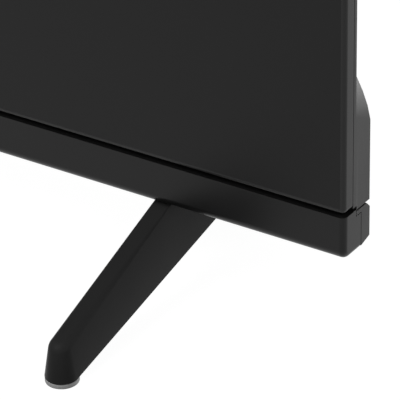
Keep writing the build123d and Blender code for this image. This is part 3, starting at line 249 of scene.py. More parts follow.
class Wire:
    """Output of a node, with the arithmetic that adds the nodes it needs."""

    def __init__(self, tree, socket):
        self.tree = tree
        self.socket = socket

    def __add__(self, other):
        return self.tree.math("ADD", self, other)

    def __sub__(self, other):
        return self.tree.math("SUBTRACT", self, other)

    def __rsub__(self, other):
        return self.tree.math("SUBTRACT", other, self)

    def __mul__(self, other):
        return self.tree.math("MULTIPLY", self, other)

    def __lt__(self, other):
        return self.tree.math("LESS_THAN", self, other)

    def __gt__(self, other):
        return self.tree.math("GREATER_THAN", self, other)

    __radd__ = __add__
    __rmul__ = __mul__


class Tree:
    """Node tree that is filled by one method for every kind of node."""

    def __init__(self, tree):
        self.tree = tree

    def feed(self, socket, value):
        """Give a socket a link, a colour or a number."""
        if isinstance(value, Wire):
            self.tree.links.new(value.socket, socket)
        elif socket.type == "RGBA":
            socket.default_value = (*value, 1)
        else:
            socket.default_value = value

    def node(self, kind, values=(), output=0, **settings):
        """Add a node: its settings first, then the values or links of its sockets."""
        made = self.tree.nodes.new(kind)
        for name, value in settings.items():
            if name == "stops":
                for stop, spot in zip(made.color_ramp.elements, value):
                    stop.position = spot
            else:
                setattr(made, name, value)
        pairs = values.items() if isinstance(values, dict) else enumerate(values)
        for key, value in pairs:
            self.feed(made.inputs[key], value)
        return Wire(self, made.outputs[output]) if made.outputs else None

    def math(self, operation, first, second):
        """Result of one step of arithmetic."""
        return self.node("ShaderNodeMath", [first, second], operation=operation)


class Finish(Tree):
    """Material with one Principled shader, and what varies it over the surface."""

    def __init__(self, name, base, roughness, **constants):
        self.material = bpy.data.materials.new(name)
        self.material.use_nodes = True
        super().__init__(self.material.node_tree)
        self.shader = self.tree.nodes["Principled BSDF"]
        self.set("Base Color", base)
        self.set("Roughness", roughness)
        for key, value in constants.items():
            self.set(key.replace("_", " ").title().replace("Ior", "IOR"), value)
        self.place = self.node("ShaderNodeTexCoord", output="Object")

    def set(self, socket, value):
        """Feed a socket of the shader."""
        self.feed(self.shader.inputs[socket], value)

    def axes(self):
        """The three coordinates of a point on the object."""
        parts = self.node("ShaderNodeSeparateXYZ", [self.place])
        return [Wire(self, output) for output in parts.socket.node.outputs]

    def noise(self, scale, detail=2.0, stretch=None):
        """Soft random field between 0 and 1, with so many bumps in a metre."""
        place = self.place
        if stretch:
            place = self.node("ShaderNodeMapping", {"Vector": place, "Scale": stretch})
        return self.node("ShaderNodeTexNoise",
                         {"Vector": place, "Scale": scale, "Detail": detail})

    def cells(self, scale, output="Distance"):
        """Field of random cells, with so many cells in a metre."""
        return self.node("ShaderNodeTexVoronoi", {"Vector": self.place, "Scale": scale}, output)

    def stripes(self, along, half):
        """Zigzag along a coordinate, with half its pitch in millimetres."""
        return self.math("PINGPONG", along * 1000, half)

    def between(self, mask, low, high):
        """Colour that goes from low to high with a mask."""
        return self.node("ShaderNodeMix", {0: mask, 6: low, 7: high}, 2, data_type="RGBA")

    def tint(self, mask, base, low, high):
        """Let the surface go from one tint of a base to another with a mask."""
        self.set("Base Color", self.between(mask, tinted(base, low), tinted(base, high)))

    def relief(self, field, height, strength):
        """Raise the surface by a field; height is in metres."""
        self.set("Normal", self.node("ShaderNodeBump", {"Height": field, "Distance": height,
                                                        "Strength": strength}))
        return self


def tinted(base, factor):
    """Colour made lighter or darker by a factor."""
    return tuple(min(1.0, part * factor) for part in base)


def screen_finish(name, base):
    """Matt polariser: black, with the fine haze of its anti-glare coating."""
    made = Finish(name, base, 0.4, specular_ior_level=0.19)
    made.set("Roughness", made.noise(9) * 0.04 + 0.38)
    return made.relief(made.noise(4200, 1.0), 0.000004, 0.25)


def trim_finish(name, base, roughness, specular, grain=3000, height=0.000006):
    """Satin moulding with a fine grain and faint streaks from the tool."""
    made = Finish(name, base, roughness, specular_ior_level=specular)
    haze = made.noise(45, 3.0)
    made.tint(haze, base, 0.9, 1.12)
    made.set("Roughness", haze * 0.08 + (roughness - 0.04))
    return made.relief(made.noise(grain, 3.0), height, 0.4)


def mottled_finish(name, base, roughness, specular, noise, tints, height=None, strength=None):
    """Surface whose colour, and relief if it has one, follow the same random field."""
    made = Finish(name, base, roughness, specular_ior_level=specular)
    field = made.noise(*noise)
    made.tint(field, base, *tints)
    return made.relief(field, height, strength) if height else made


def cover_finish(name, base):
    """Spark-eroded grain of a moulded rear cover, rubbed a little where the grain stands up."""
    made = Finish(name, base, 0.5, specular_ior_level=0.35)
    pits = made.cells(1100)
    fine = made.noise(3600)
    made.tint(made.node("ShaderNodeValToRGB", [pits], stops=(0.1, 0.6)), base, 0.85, 1.2)
    made.set("Roughness", made.noise(30, 3.0) * 0.1 + 0.45)
    return made.relief(pits * 0.7 + fine * 0.3, 0.00004, 0.35)


def galvanised_finish(name, base):
    """Zinc coated sheet with the flakes of its spangle."""
    made = Finish(name, base, 0.45, metallic=1.0)
    flake = made.node("ShaderNodeSeparateColor", [made.cells(140, "Color")])
    made.tint(flake, base, 0.88, 1.1)
    made.set("Roughness", flake * 0.14 + 0.4)
    return made.relief(made.noise(400, 3.0), 0.00002, 0.3)


def metal_finish(name, base, roughness, grain, stretch=None):
    """Bare metal with fine lines or a fine grain."""
    made = Finish(name, base, roughness, metallic=1.0)
    lines = made.noise(grain, 3.0, stretch)
    made.tint(lines, base, 0.85, 1.1)
    made.set("Roughness", lines * 0.16 + (roughness - 0.08))
    return made.relief(lines, 0.00001, 0.4)


def board_finish(name, base, copper, brass):
    """Lacquered circuit board: traces along two directions, pads and through holes."""
    made = Finish(name, base, 0.32, specular_ior_level=0.5)
    across, _, up = made.axes()
    along = made.cells(55) > 0.42
    rows = made.stripes(up, 0.6) < 0.2
    columns = made.stripes(across, 0.6) < 0.2
    laid = (rows * along + columns * (1 - along)) * (made.noise(60, 1.0) > 0.47)
    holes = made.cells(210) < 0.16
    film = made.between(laid, base, copper)
    made.set("Base Color", made.between(holes, film, tinted(brass, 0.8)))
    made.set("Metallic", holes * 0.9)
    return made.relief(laid + holes, 0.00003, 0.5)


def ribbon_finish(name, base, brass):
    """Amber film with copper lines running from front to back."""
    made = Finish(name, base, 0.3, specular_ior_level=0.5)
    lines = made.stripes(made.axes()[0], 0.4) < 0.2
    made.set("Base Color", made.between(lines, base, tinted(brass, 0.7)))
    return made.relief(lines, 0.00002, 0.4)


def flat_cable_finish(name, base):
    """White flat cable with its conductors showing through."""
    made = Finish(name, base, 0.4, specular_ior_level=0.45)
    across, _, up = made.axes()
    field = made.stripes(across + up, 0.5)
    made.tint(field < 0.22, base, 1, 0.72)
    return made.relief(field, 0.00004, 0.5)


def window_finish(name, base):
    """Smoked window of the remote receiver."""
    made = Finish(name, base, 0.12, specular_ior_level=0.45)
    made.set("Roughness", made.noise(200) * 0.05 + 0.1)
    return made


def finish_of(maker, name, *values):
    """Material by name, made at its first use."""
    return bpy.data.materials.get(name) or maker(name, *values).material


def looks():
    """All finishes by the name of their slot in the record."""
    c = bpy.context.scene.television_colours
    rows = {
        "screen_glass": (screen_finish, "screen_face", c.screen),
        "frame_plastic": (trim_finish, "frame_satin", c.frame, 0.42, 0.27),
        "chin_plastic": (trim_finish, "chin_gloss", c.chin, 0.3, 0.2, 5000, 0.000003),
        "cover_plastic": (cover_finish, "grained_cover", c.cover),
        "leg_plastic": (trim_finish, "leg_satin", c.leg, 0.34, 0.03),
        "steel": (galvanised_finish, "galvanised_sheet", c.steel),
        "screw_steel": (metal_finish, "blackened_screw", c.black_screw, 0.4, 1500),
        "shell_steel": (metal_finish, "tinned_shell", c.tin, 0.3, 900),
        "sink_aluminium": (metal_finish, "fin_aluminium", c.aluminium, 0.4, 900, (1, 1, 0.05)),
        "board_green": (board_finish, "solder_mask", c.mask, c.copper, c.brass),
        "black_plastic": (trim_finish, "black_moulding", c.moulding, 0.5, 0.4, 1800, 0.00002),
        "key_plastic": (trim_finish, "key_cap", c.key, 0.3, 0.4),
        "window_plastic": (window_finish, "receiver_window", c.window),
        "socket_brass": (metal_finish, "plated_brass", c.brass, 0.28, 900),
        "cable_amber": (ribbon_finish, "amber_ribbon", c.amber, c.brass),
        "cable_white": (flat_cable_finish, "flat_cable", c.flat_cable),
        "wire_insulation": (mottled_finish, "wire_jacket", c.wire, 0.42, 0.45, (300, 3.0),
                            (0.8, 1), 0.00002, 0.3),
    }
    made = {slot: finish_of(*row) for slot, row in rows.items()}
    return made | {slot: bpy.data.materials[slot] for slot in PLAIN_SLOTS}


def linked(name, data):
    """New object in the scene."""
    made = bpy.data.objects.new(name, data)
    bpy.context.scene.collection.objects.link(made)
    return made


def place(name, mesh, slot, body="root", stands_for=(), finish=None):
    """Put a mesh in the scene, riding on a body, in the finish of its slot or in its own."""
    mesh.materials.clear()
    mesh.materials.append(finish or looks()[slot])
    made = linked(name, mesh)
    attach(made, body)
    if stands_for:
        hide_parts(*stands_for)


def plain(made):
    """Mesh of an object with its modifiers run; the object is removed."""
    view = bpy.context.evaluated_depsgraph_get()
    mesh = bpy.data.meshes.new_from_object(made.evaluated_get(view))
    bpy.data.objects.remove(made)
    return mesh


def mesh_of(name, shape):
    """Mesh from a bmesh, which is freed."""
    mesh = bpy.data.meshes.new(name)
    shape.to_mesh(mesh)
    shape.free()
    return mesh


def add_box(shape, centre, size, turn=0):
    """Add a box to a bmesh, turned about the line that runs to the wall."""
    bmesh.ops.create_cube(shape, size=1, matrix=Matrix.Translation(centre)
                          @ Matrix.Rotation(turn, 4, "Y") @ Matrix.Diagonal((*size, 1)))


def stepped(shape, sizes):
    """Set the sides of the wings in behind the rim, past a narrow sloping line."""
    outer = CAD_BOX[1][0] - sizes.rim_step / 4
    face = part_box("chin_trim")[0][1]
    for depth in (sizes.rim_line, sizes.rim_line_end):
        sides = [side for side in shape.faces
                 if all(abs(vertex.co.x) > outer for vertex in side.verts)]
        edges = {edge for side in sides for edge in side.edges}
        vertices = {vertex for side in sides for vertex in side.verts}
        bmesh.ops.bisect_plane(shape, geom=[*vertices, *edges, *sides], dist=CUT_GAP,
                               plane_co=(0, face + depth, 0), plane_no=(0, 1, 0))
    for vertex in shape.verts:
        if abs(vertex.co.x) > outer and vertex.co.y > face + sizes.rim_line_end - LINE_GAP:
            vertex.co.x -= sizes.rim_step if vertex.co.x > 0 else -sizes.rim_step


def raised(shape, sizes):
    """Bring the polariser on the glass forward into the opening of the frame."""
    front = max(shape.faces, key=lambda side: -side.normal.y * side.calc_area())
    bmesh.ops.inset_individual(shape, faces=[front], thickness=sizes.film_margin)
    bmesh.ops.inset_individual(shape, faces=[front], thickness=0, depth=sizes.film_rise)


def eased(node, edge, prepare):
    """Merged copy of a CAD node whose sharp edges are rounded."""
    mesh = NODES[node].data.copy()
    if "custom_normal" in mesh.attributes:
        mesh.attributes.remove(mesh.attributes["custom_normal"])
    shape = bmesh.new()
    shape.from_mesh(mesh)
    bmesh.ops.remove_doubles(shape, verts=shape.verts, dist=MERGE_GAP)
    bmesh.ops.dissolve_limit(shape, angle_limit=FLAT_TURN, verts=shape.verts, edges=shape.edges)
    if prepare:
        prepare(shape, bpy.context.scene.television_sizes)
    sharp = [line for line in shape.edges
             if len(line.link_faces) == 2 and line.calc_face_angle(0) > SHARP_TURN]
    bmesh.ops.bevel(shape, geom=sharp, offset=edge, offset_type="OFFSET", segments=2,
                    profile=0.5, affect="EDGES", clamp_overlap=True)
    for side in shape.faces:
        side.smooth = True
    shape.to_mesh(mesh)
    shape.free()
    made = linked(node, mesh)
    made.modifiers.new("faces", "WEIGHTED_NORMAL").weight = FACE_WEIGHT
    return plain(made)


def bar(centre, radius, low, high):
    """Mesh of an upright round bar."""
    shape = bmesh.new()
    middle = Matrix.Translation((centre[0], centre[1], (low + high) / 2))
    bmesh.ops.create_cone(shape, cap_ends=True, segments=BAR_SIDES, radius1=radius,
                          radius2=radius, depth=high - low, matrix=middle)
    return mesh_of("bar", shape)


def combined(mesh, *steps):
    """Mesh joined with or cut by other meshes, in order."""
    made = linked("combined", mesh)
    tools = []
    for operation, other in steps:
        tools.append(linked("tool", other))
        modifier = made.modifiers.new("combined", "BOOLEAN")
        modifier.operation = operation
        modifier.object = tools[-1]
        modifier.solver = "EXACT"
    result = plain(made)
    for tool in tools:
        bpy.data.objects.remove(tool)
    return result


def half_outline(top, low, crown, foot, easing):
    """Half of a leg's section from the middle of its foot to the middle of its top."""
    lean = atan2(foot - crown, top - low)
    foot_easing = FOOT_EASING * foot
    foot_x = foot - foot_easing * (1 + sin(lean)) / cos(lean)
    top_x = foot - (easing + sin(lean) * (top - low - easing)) / cos(lean)
    points = [(0, low)]
    for step in range(FOOT_STEPS + 1):
        turn = -pi / 2 + (lean + pi / 2) * step / FOOT_STEPS
        points.append((foot_x + foot_easing * cos(turn), low + foot_easing * (1 + sin(turn))))
    for step in range(TOP_STEPS + 1):
        turn = lean + (pi / 2 - lean) * step / TOP_STEPS
        points.append((top_x + easing * cos(turn), top + easing * (sin(turn) - 1)))
    return points + [(0, top)]


def skin(name, rows):
    """Closed mesh through rows of points, where the last row joins the first."""
    wide = len(rows[0])
    faces = []
    for i in range(len(rows)):
        j = (i + 1) % len(rows)
        faces += [(i * wide + k, i * wide + k + 1, j * wide + k + 1, j * wide + k)
                  for k in range(wide - 1)]
    mesh = bpy.data.meshes.new(name)
    mesh.from_pydata([point for row in rows for point in row], [], faces)
    shape = bmesh.new()
    shape.from_mesh(mesh)
    bmesh.ops.remove_doubles(shape, verts=shape.verts, dist=LEG_GAP)
    bmesh.ops.recalc_face_normals(shape, faces=shape.faces)
    for side in shape.faces:
        side.smooth = True
    shape.to_mesh(mesh)
    shape.free()
    return mesh


def swept_leg(node, toes, fixings, sizes):
    """Leg swept through its sections, rounded to a toe at both ends, with wells for its screws."""
    front, rear = toes
    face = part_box("chin_trim")[0][1]
    low = front[1].z
    middle = (rear[0].x + rear[1].x) / 2
    start, end = [(toe[0].y + toe[1].y) / 2 for toe in toes]
    splayed = (front[0].x + front[1].x) / 2
    toe_form = (sizes.toe_top, low, sizes.toe_crown, sizes.toe_easing)
    knots = [(start, splayed, *toe_form)]
    for knot in ("root", "crotch", "heel"):
        knots.append((face + getattr(sizes, f"{knot}_depth"), middle, sizes.strut_top,
                      getattr(sizes, f"{knot}_low"), sizes.leg_crown, sizes.leg_edge))
    knots.append((end, middle, *toe_form))
    sections = []
    for near, far in zip(knots, knots[1:]):
        count = max(1, round((far[0] - near[0]) / sizes.leg_row))
        for step in range(count):
            part = step / count
            sections.append([a + (b - a) * part for a, b in zip(near, far)])
    sections.append(knots[-1])

    def row(section, turn, hand, fall=0.0):
        """Half of a section turned about its upright axis, sinking with its distance from it."""
        depth, centre, top, under, crown, easing = section
        return [(centre + hand * x * cos(turn), depth - hand * x * sin(turn),
                 z - (z - under) / (top - under) * fall * x * sin(turn))
                for x, z in half_outline(top, under, crown, sizes.leg_foot, easing)]

    drop = sizes.strut_top - sizes.toe_top
    turns = [pi * step / TOE_STEPS for step in range(1, TOE_STEPS)]
    rows = [row(section, 0, 1) for section in reversed(sections)]
    rows += [row(sections[0], turn, 1, drop / (knots[1][0] - start)) for turn in turns]
    rows += [row(section, 0, -1) for section in sections]
    rows += [row(sections[-1], turn, -1, drop / (end - knots[3][0])) for turn in turns]
    leg = skin(node, rows)
    seat = bmesh.new()
    seat_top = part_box(node)[1][2]
    sunk = sizes.strut_top - sizes.leg_edge * 2
    add_box(seat, (middle, face + (sizes.heel_depth + sizes.seat_front) / 2,
                   (seat_top + sunk) / 2),
            (sizes.leg_crown * SEAT_WIDTH, sizes.heel_depth - sizes.seat_front, seat_top - sunk))
    steps = [("UNION", mesh_of("seat", seat))]
    for corner, other in fixings:
        centre = (corner + other) / 2
        head = (other.x - corner.x) / 2 + sizes.well_gap
        steps += [("DIFFERENCE", bar(centre, head, -low, corner.z + sizes.leg_head)),
                  ("DIFFERENCE", bar(centre, sizes.leg_shank + sizes.well_gap, 0,
                                     seat_top + low))]
    return combined(leg, *steps)


def dress(node, edge, slot, body="root", prepare=None):
    """Stand an eased copy in for a CAD node, in the finish of its slot."""
    place(f"{node}_dressed", eased(node, edge, prepare), slot, body, [node])


def repaint(*names):
    """Give CAD nodes that keep their shape the finish of their own slot."""
    finishes = looks()
    for name in names:
        for holder in NODES[name].material_slots:
            slot = holder.material.name.split(".")[0]
            holder.material = finishes[slot]


class Pattern(Tree):
    """Geometry Nodes tree that repeats a small shape at the vertices of a seed mesh."""

    def __init__(self, name, **sizes):
        super().__init__(bpy.data.node_groups.new(name, "GeometryNodeTree"))
        face = self.tree.interface
        face.new_socket("Geometry", in_out="INPUT", socket_type="NodeSocketGeometry")
        self.values = {}
        for key, value in sizes.items():
            socket = face.new_socket(key.replace("_", " ").capitalize(), in_out="INPUT",
                                     socket_type="NodeSocketFloat")
            self.values[socket.identifier] = value
        face.new_socket("Geometry", in_out="OUTPUT", socket_type="NodeSocketGeometry")
        self.seeds = self.node("NodeGroupInput")
        outputs = self.seeds.socket.node.outputs
        self.sizes = [Wire(self, output) for output in outputs[1:1 + len(sizes)]]

    def vector(self, x, y, z):
        """Vector from three numbers or wires."""
        return self.node("ShaderNodeCombineXYZ", [x, y, z])

    def moved(self, shape, x=0.0, z=0.0):
        """Shape shifted along its own axes."""
        return self.node("GeometryNodeTransform",
                         {"Geometry": shape, "Translation": self.vector(x, 0.0, z)})

    def tube(self, low, high, radius, top_radius, sides=24):
        """Round bar or cone along its own upright axis."""
        cone = self.node("GeometryNodeMeshCone",
                         {"Vertices": sides, "Radius Top": top_radius, "Radius Bottom": radius,
                          "Depth": high - low})
        return self.moved(cone, z=low)

    def block(self, wide, deep, high, x=0.0):
        """Box around a point on the x axis."""
        size = self.vector(wide, deep, high)
        return self.moved(self.node("GeometryNodeMeshCube", {"Size": size}), x)

    def cut(self, body, tool):
        """Body with a tool taken away from it."""
        return self.node("GeometryNodeMeshBoolean", [body, tool], operation="DIFFERENCE")

    def joined(self, *shapes):
        """Shapes in one mesh."""
        made = self.node("GeometryNodeJoinGeometry")
        for shape in shapes:
            self.feed(made.socket.node.inputs[0], shape)
        return made

    def grow(self, name, seeds, shape, slot, turn=(0, 0, 0), spin=0.0, spread=0.0,
             stands_for=(), finish=None):
        """Set the shape on the seeds, run the tree and place the plain mesh."""
        finish = finish or looks()[slot]
        spun = self.node("FunctionNodeRandomValue", {2: -spin, 3: spin, "Seed": SPIN_SEED}, 1,
                         data_type="FLOAT")
        local = self.node("FunctionNodeRotateEuler", [turn, self.vector(0.0, 0.0, spun)],
                          rotation_type="EULER", space="LOCAL")
        scale = self.node("FunctionNodeRandomValue",
                          {0: (1 - spread,) * 3, 1: (1 + spread,) * 3, "Seed": SPREAD_SEED},
                          data_type="FLOAT_VECTOR")
        copies = self.node("GeometryNodeInstanceOnPoints",
                           {"Points": self.seeds, "Instance": shape, "Rotation": local,
                            "Scale": scale})
        real = self.node("GeometryNodeRealizeInstances", [copies])
        painted = self.node("GeometryNodeSetMaterial", {"Geometry": real, "Material": finish})
        self.node("NodeGroupOutput", [painted])
        mesh = bpy.data.meshes.new(name)
        mesh.from_pydata([tuple(seed) for seed in seeds], [], [])
        made = linked(name, mesh)
        modifier = made.modifiers.new(name, "NODES")
        modifier.node_group = self.tree
        for identifier, value in self.values.items():
            modifier[identifier] = value
        place(name, plain(made), slot, "root", stands_for, finish)


def islands(node):
    """Boxes of the separate solids of a CAD node, as pairs of corners."""
    shape = bmesh.new()
    shape.from_mesh(NODES[node].data)
    bmesh.ops.remove_doubles(shape, verts=shape.verts, dist=MERGE_GAP)
    left = set(shape.verts)
    found = []
    while left:
        queue = [left.pop()]
        group = list(queue)
        while queue:
            for edge in queue.pop().link_edges:
                for vertex in edge.verts:
                    if vertex in left:
                        left.remove(vertex)
                        queue.append(vertex)
                        group.append(vertex)
        points = [vertex.co for vertex in group]
        found.append((Vector(map(min, *points)), Vector(map(max, *points))))
    shape.free()
    return sorted(found, key=lambda corners: tuple(corners[0]))


def screws(kind, turn):
    """Cross-recessed screws in place of the plain ones of a CAD node."""
    sizes = bpy.context.scene.television_sizes
    node = f"{kind}_screws"
    boxes = islands(node)
    low, high = boxes[0]
    outer = (high.x - low.x) / 2
    if turn is TO_WALL:
        total = high.y - low.y
        seeds = [((a.x + b.x) / 2, b.y, (a.z + b.z) / 2) for a, b in boxes]
    else:
        total = high.z - low.z
        seeds = [((a.x + b.x) / 2, (a.y + b.y) / 2, a.z) for a, b in boxes]
    pattern = Pattern(f"{node}_pattern", head_radius=outer,
                      head_height=getattr(sizes, f"{kind}_head"),
                      shank_radius=getattr(sizes, f"{kind}_shank"), shank_length=total,
                      recess_arm=outer * sizes.recess_share)
    radius, head, shank_radius, shank_length, arm = pattern.sizes
    rim = head * -CROWN_BASE
    base = pattern.tube(head * -1, rim, radius, radius)
    crown = pattern.tube(rim * OVER, 0.0, radius * SHORT, radius * CROWN_TOP)
    deep = head * RECESS_DEPTH
    long = radius * RECESS_LENGTH
    slotted = pattern.cut(crown, pattern.block(long, arm, deep))
    crossed = pattern.cut(slotted, pattern.block(arm, long, deep * SECOND_SLOT))
    shank = pattern.tube(shank_length * -1, head * -SHANK_TOP, shank_radius, shank_radius)
    pattern.grow(f"{node}_cut", seeds, pattern.joined(base, crossed, shank), "screw_steel",
                 turn, pi, stands_for=[node])


def free_spots(board, pitch, keep_off):
    """Grid of places on the wall side of a board, clear of what stands on it."""
    low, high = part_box(board)
    taken = [box for node in keep_off for box in islands(node)]
    spots = []
    rows = int((high[2] - low[2]) / pitch)
    columns = int((high[0] - low[0]) / pitch)
    dice = random.Random(PART_SEED)
    for row in range(1, rows):
        for column in range(1, columns):
            x = low[0] + pitch * (column + dice.uniform(-PART_STRAY, PART_STRAY))
            z = low[2] + pitch * (row + dice.uniform(-PART_STRAY, PART_STRAY))
            clear = all(x < a.x - pitch / 2 or x > b.x + pitch / 2
                        or z < a.z - pitch / 2 or z > b.z + pitch / 2 for a, b in taken)
            if clear and dice.random() < PART_CHANCE:
                spots.append((x, high[1], z))
    return spots


def small_parts(sizes):
    """Small parts with two ends, over the free places of the boards."""
    pattern = Pattern("part_pattern", length=sizes.part_length, width=sizes.part_width,
                      height=sizes.part_height)
    long, wide, high = pattern.sizes
    body = pattern.block(long * PART_BODY, wide, high * 2)
    ends = [pattern.block(long * PART_END, wide * OVER, high * PART_END_HEIGHT,
                          long * PART_END_PLACE * hand) for hand in (-1, 1)]
    seeds = []
    for board, others in ON_BOARDS.items():
        seeds += free_spots(board, sizes.part_pitch, others)
    pattern.grow("small_parts", seeds, pattern.joined(body, *ends), "black_plastic", TO_WALL,
                 pi, PART_SPREAD)


def contacts(sizes):
    """Contacts of the sockets, and the tongues that carry them."""
    pattern = Pattern("contact_pattern", width=sizes.contact_width, height=sizes.contact_height,
                      length=sizes.contact_width * CONTACT_LENGTH)
    wide, high, long = pattern.sizes
    seeds = []
    tongues = bmesh.new()
    for node, (count, reach) in SOCKETS.items():
        for low, top in islands(node):
            middle = (low + top) / 2
            span = count * sizes.contact_pitch / 2
            start = low.x + (top.x - low.x) * reach
            add_box(tongues, ((start + top.x) / 2, middle.y, middle.z),
                    (top.x - start, sizes.tongue, span * 2))
            seeds += [(start + sizes.contact_width * CONTACT_LENGTH / 2,
                       middle.y + sizes.tongue / 2,
                       middle.z + (step + 0.5) * sizes.contact_pitch - span)
                      for step in range(count)]
    pattern.grow("socket_contacts", seeds, pattern.block(long, high * 2, wide), "socket_brass")
    place("socket_tongues", mesh_of("socket_tongues", tongues), "black_plastic")


def aerial_thread(sizes):
    """Thread on the neck of the aerial socket, with two cones for each turn."""
    low, high = [Vector(corner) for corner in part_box("antenna_socket")]
    middle = (low + high) / 2
    pattern = Pattern("thread_pattern", pitch=sizes.thread_pitch, depth=sizes.thread_depth,
                      radius=(high.z - low.z) / 2)
    pitch, deep, wide = pattern.sizes
    rise = pattern.tube(0.0, pitch * WIDEST, wide - deep, wide, BAR_SIDES)
    fall = pattern.tube(pitch * NARROWING, pitch * OVER, wide * THREAD_SHORT,
                        (wide - deep) * THREAD_SHORT, BAR_SIDES)
    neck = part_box("tuner_can")[0][0]
    seeds = [(neck - sizes.thread_pitch * step, middle.y, middle.z)
             for step in range(int(sizes.neck_length / sizes.thread_pitch))]
    pattern.grow("aerial_thread", seeds, pattern.joined(rise, fall), "socket_brass", TO_LEFT)


def lamp(name, spot, size, power):
    """Soft lamp at a spot, turned to the set and not seen itself."""
    light = bpy.data.lights.new(name, "AREA")
    light.shape = "RECTANGLE"
    light.size, light.size_y = size
    light.energy = power
    made = linked(name, light)
    made.location = spot
    made.rotation_euler = (Vector(LAMP_AIM) - Vector(spot)).to_track_quat("-Z", "Y").to_euler()
    made.visible_camera = False


def emptied(owner):
    """Node tree of a material or of the surroundings, with nothing in it."""
    owner.use_nodes = True
    owner.node_tree.nodes.clear()
    return Tree(owner.node_tree)


def looked_at(tree):
    """Mask that is one for camera, glossy and transmission rays."""
    path = tree.node("ShaderNodeLightPath").socket.node
    rays = [Wire(tree, path.outputs[name])
            for name in ("Is Camera Ray", "Is Glossy Ray", "Is Transmission Ray")]
    return tree.math("MAXIMUM", rays[0], tree.math("MAXIMUM", *rays[1:]))


class TELEVISION_OT_stage(bpy.types.Operator):
    """Make the floor, the surroundings, the lamps and the camera"""

    bl_idname = "television.stage"
    bl_label = "Stage"

    def execute(self, context):
        scene = context.scene
        stage = scene.television_stage
        scene.view_settings.view_transform = "Standard"
        half = stage.floor_width / 2
        mesh = bpy.data.meshes.new("floor")
        mesh.from_pydata([(-half, -half, 0), (half, -half, 0), (half, half, 0), (-half, half, 0)],
                         [], [(0, 1, 2, 3)])
        floor = linked("floor", mesh)
        material = bpy.data.materials.new("pale_floor")
        tree = emptied(material)
        matt = tree.node("ShaderNodeBsdfDiffuse", {"Color": (stage.floor_grey,) * 3})
        glow = tree.node("ShaderNodeEmission", {"Strength": stage.floor_lift})
        seen = tree.node("ShaderNodeAddShader", [matt, glow])
        mixed = tree.node("ShaderNodeMixShader", [looked_at(tree), matt, seen])
        tree.node("ShaderNodeOutputMaterial", {"Surface": mixed})
        mesh.materials.append(material)

        scene.world = bpy.data.worlds.new("surroundings")
        tree = emptied(scene.world)
        mask = looked_at(tree)
        strength = mask + (1 - mask) * stage.sky_grey
        light = tree.node("ShaderNodeBackground", {"Color": (1, 1, 1), "Strength": strength})
        tree.node("ShaderNodeOutputWorld", {"Surface": light})
        for name, spot, size, power in LAMPS:
            lamp(name, spot, size, getattr(stage, power))

        turn, lift, roll = stage.camera_azimuth, stage.camera_elevation, stage.camera_roll
        back = Vector((sin(turn) * cos(lift), -cos(turn) * cos(lift), sin(lift)))
        right = Vector((cos(turn), sin(turn), 0))
        up = back.cross(right)
        across = cos(roll) * right + sin(roll) * up
        above = cos(roll) * up - sin(roll) * right
        lens = bpy.data.cameras.new("photo_camera")
        lens.lens = stage.camera_lens
        lens.sensor_width = SENSOR_WIDTH
        scene.camera = linked("photo_camera", lens)
        scene.camera.matrix_world = Matrix.Translation(stage.camera_place) @ Matrix(
            (across, above, back)).transposed().to_4x4()
        return {"FINISHED"}


class TELEVISION_OT_screen(bpy.types.Operator):
    """Finish the glass, the films behind it and the lights"""

    bl_idname = "television.screen"
    bl_label = "Screen"

    def execute(self, context):
        sizes = context.scene.television_sizes
        dress("lcd_cell", sizes.film_edge, "screen_glass", prepare=raised)
        repaint("middle_frame", "optical_films", "diffuser_plate", "reflector_sheet",
                "led_strips", "led_lenses", "rear_tray", "source_board", "panel_ribbons",
                "timing_board", "panel_cables")
        glow = finish_of(mottled_finish, "phosphor", context.scene.television_colours.phosphor,
                         0.6, 0.4, (4000,), (0.85, 1))
        pattern = Pattern("chip_pattern", width=sizes.chip_width, height=sizes.chip_height)
        wide, high = pattern.sizes
        core = wide * PHOSPHOR_WIDTH
        shape = pattern.joined(pattern.block(wide, wide, high),
                               pattern.block(core, core, high * PHOSPHOR_HEIGHT))
        seeds = [((a.x + b.x) / 2, b.y - sizes.chip_height / 2, (a.z + b.z) / 2)
                 for a, b in islands("led_lenses")]
        pattern.grow("light_chips", seeds, shape, "winding_tape", TO_WALL, finish=glow)
        return {"FINISHED"}


class TELEVISION_OT_trim(bpy.types.Operator):
    """Round and finish the frame, the chin and the channel behind it"""

    bl_idname = "television.trim"
    bl_label = "Frame and chin"

    def execute(self, context):
        edge = context.scene.television_sizes.trim_edge
        dress("outer_frame", edge, "frame_plastic")
        dress("chin_trim", edge, "chin_plastic")
        dress("bottom_cover", edge, "cover_plastic")
        repaint("ir_window", "ir_board")
        return {"FINISHED"}


class TELEVISION_OT_cover(bpy.types.Operator):
    """Round and finish the rear cover"""

    bl_idname = "television.cover"
    bl_label = "Rear cover"

    def execute(self, context):
        dress("rear_cover", context.scene.television_sizes.cover_edge, "cover_plastic",
              prepare=stepped)
        repaint("wall_mount_posts")
        screws("cover", TO_WALL)
        return {"FINISHED"}


class TELEVISION_OT_legs(bpy.types.Operator):
    """Round and finish the legs and their pads"""

    bl_idname = "television.legs"
    bl_label = "Legs"

    def execute(self, context):
        sizes = context.scene.television_sizes
        pads = islands("foot_pads")
        fixings = islands("leg_screws")
        for node, own in (("left_leg", slice(0, 2)), ("right_leg", slice(2, 4))):
            toes = sorted(pads[own], key=lambda box: box[0].y)
            mesh = swept_leg(node, toes, fixings[own], sizes)
            place(f"{node}_swept", mesh, "leg_plastic", "root", [node])
        dress("foot_pads", sizes.leg_edge, "pad_rubber")
        repaint("leg_brackets")
        screws("leg", TO_FLOOR)
        return {"FINISHED"}


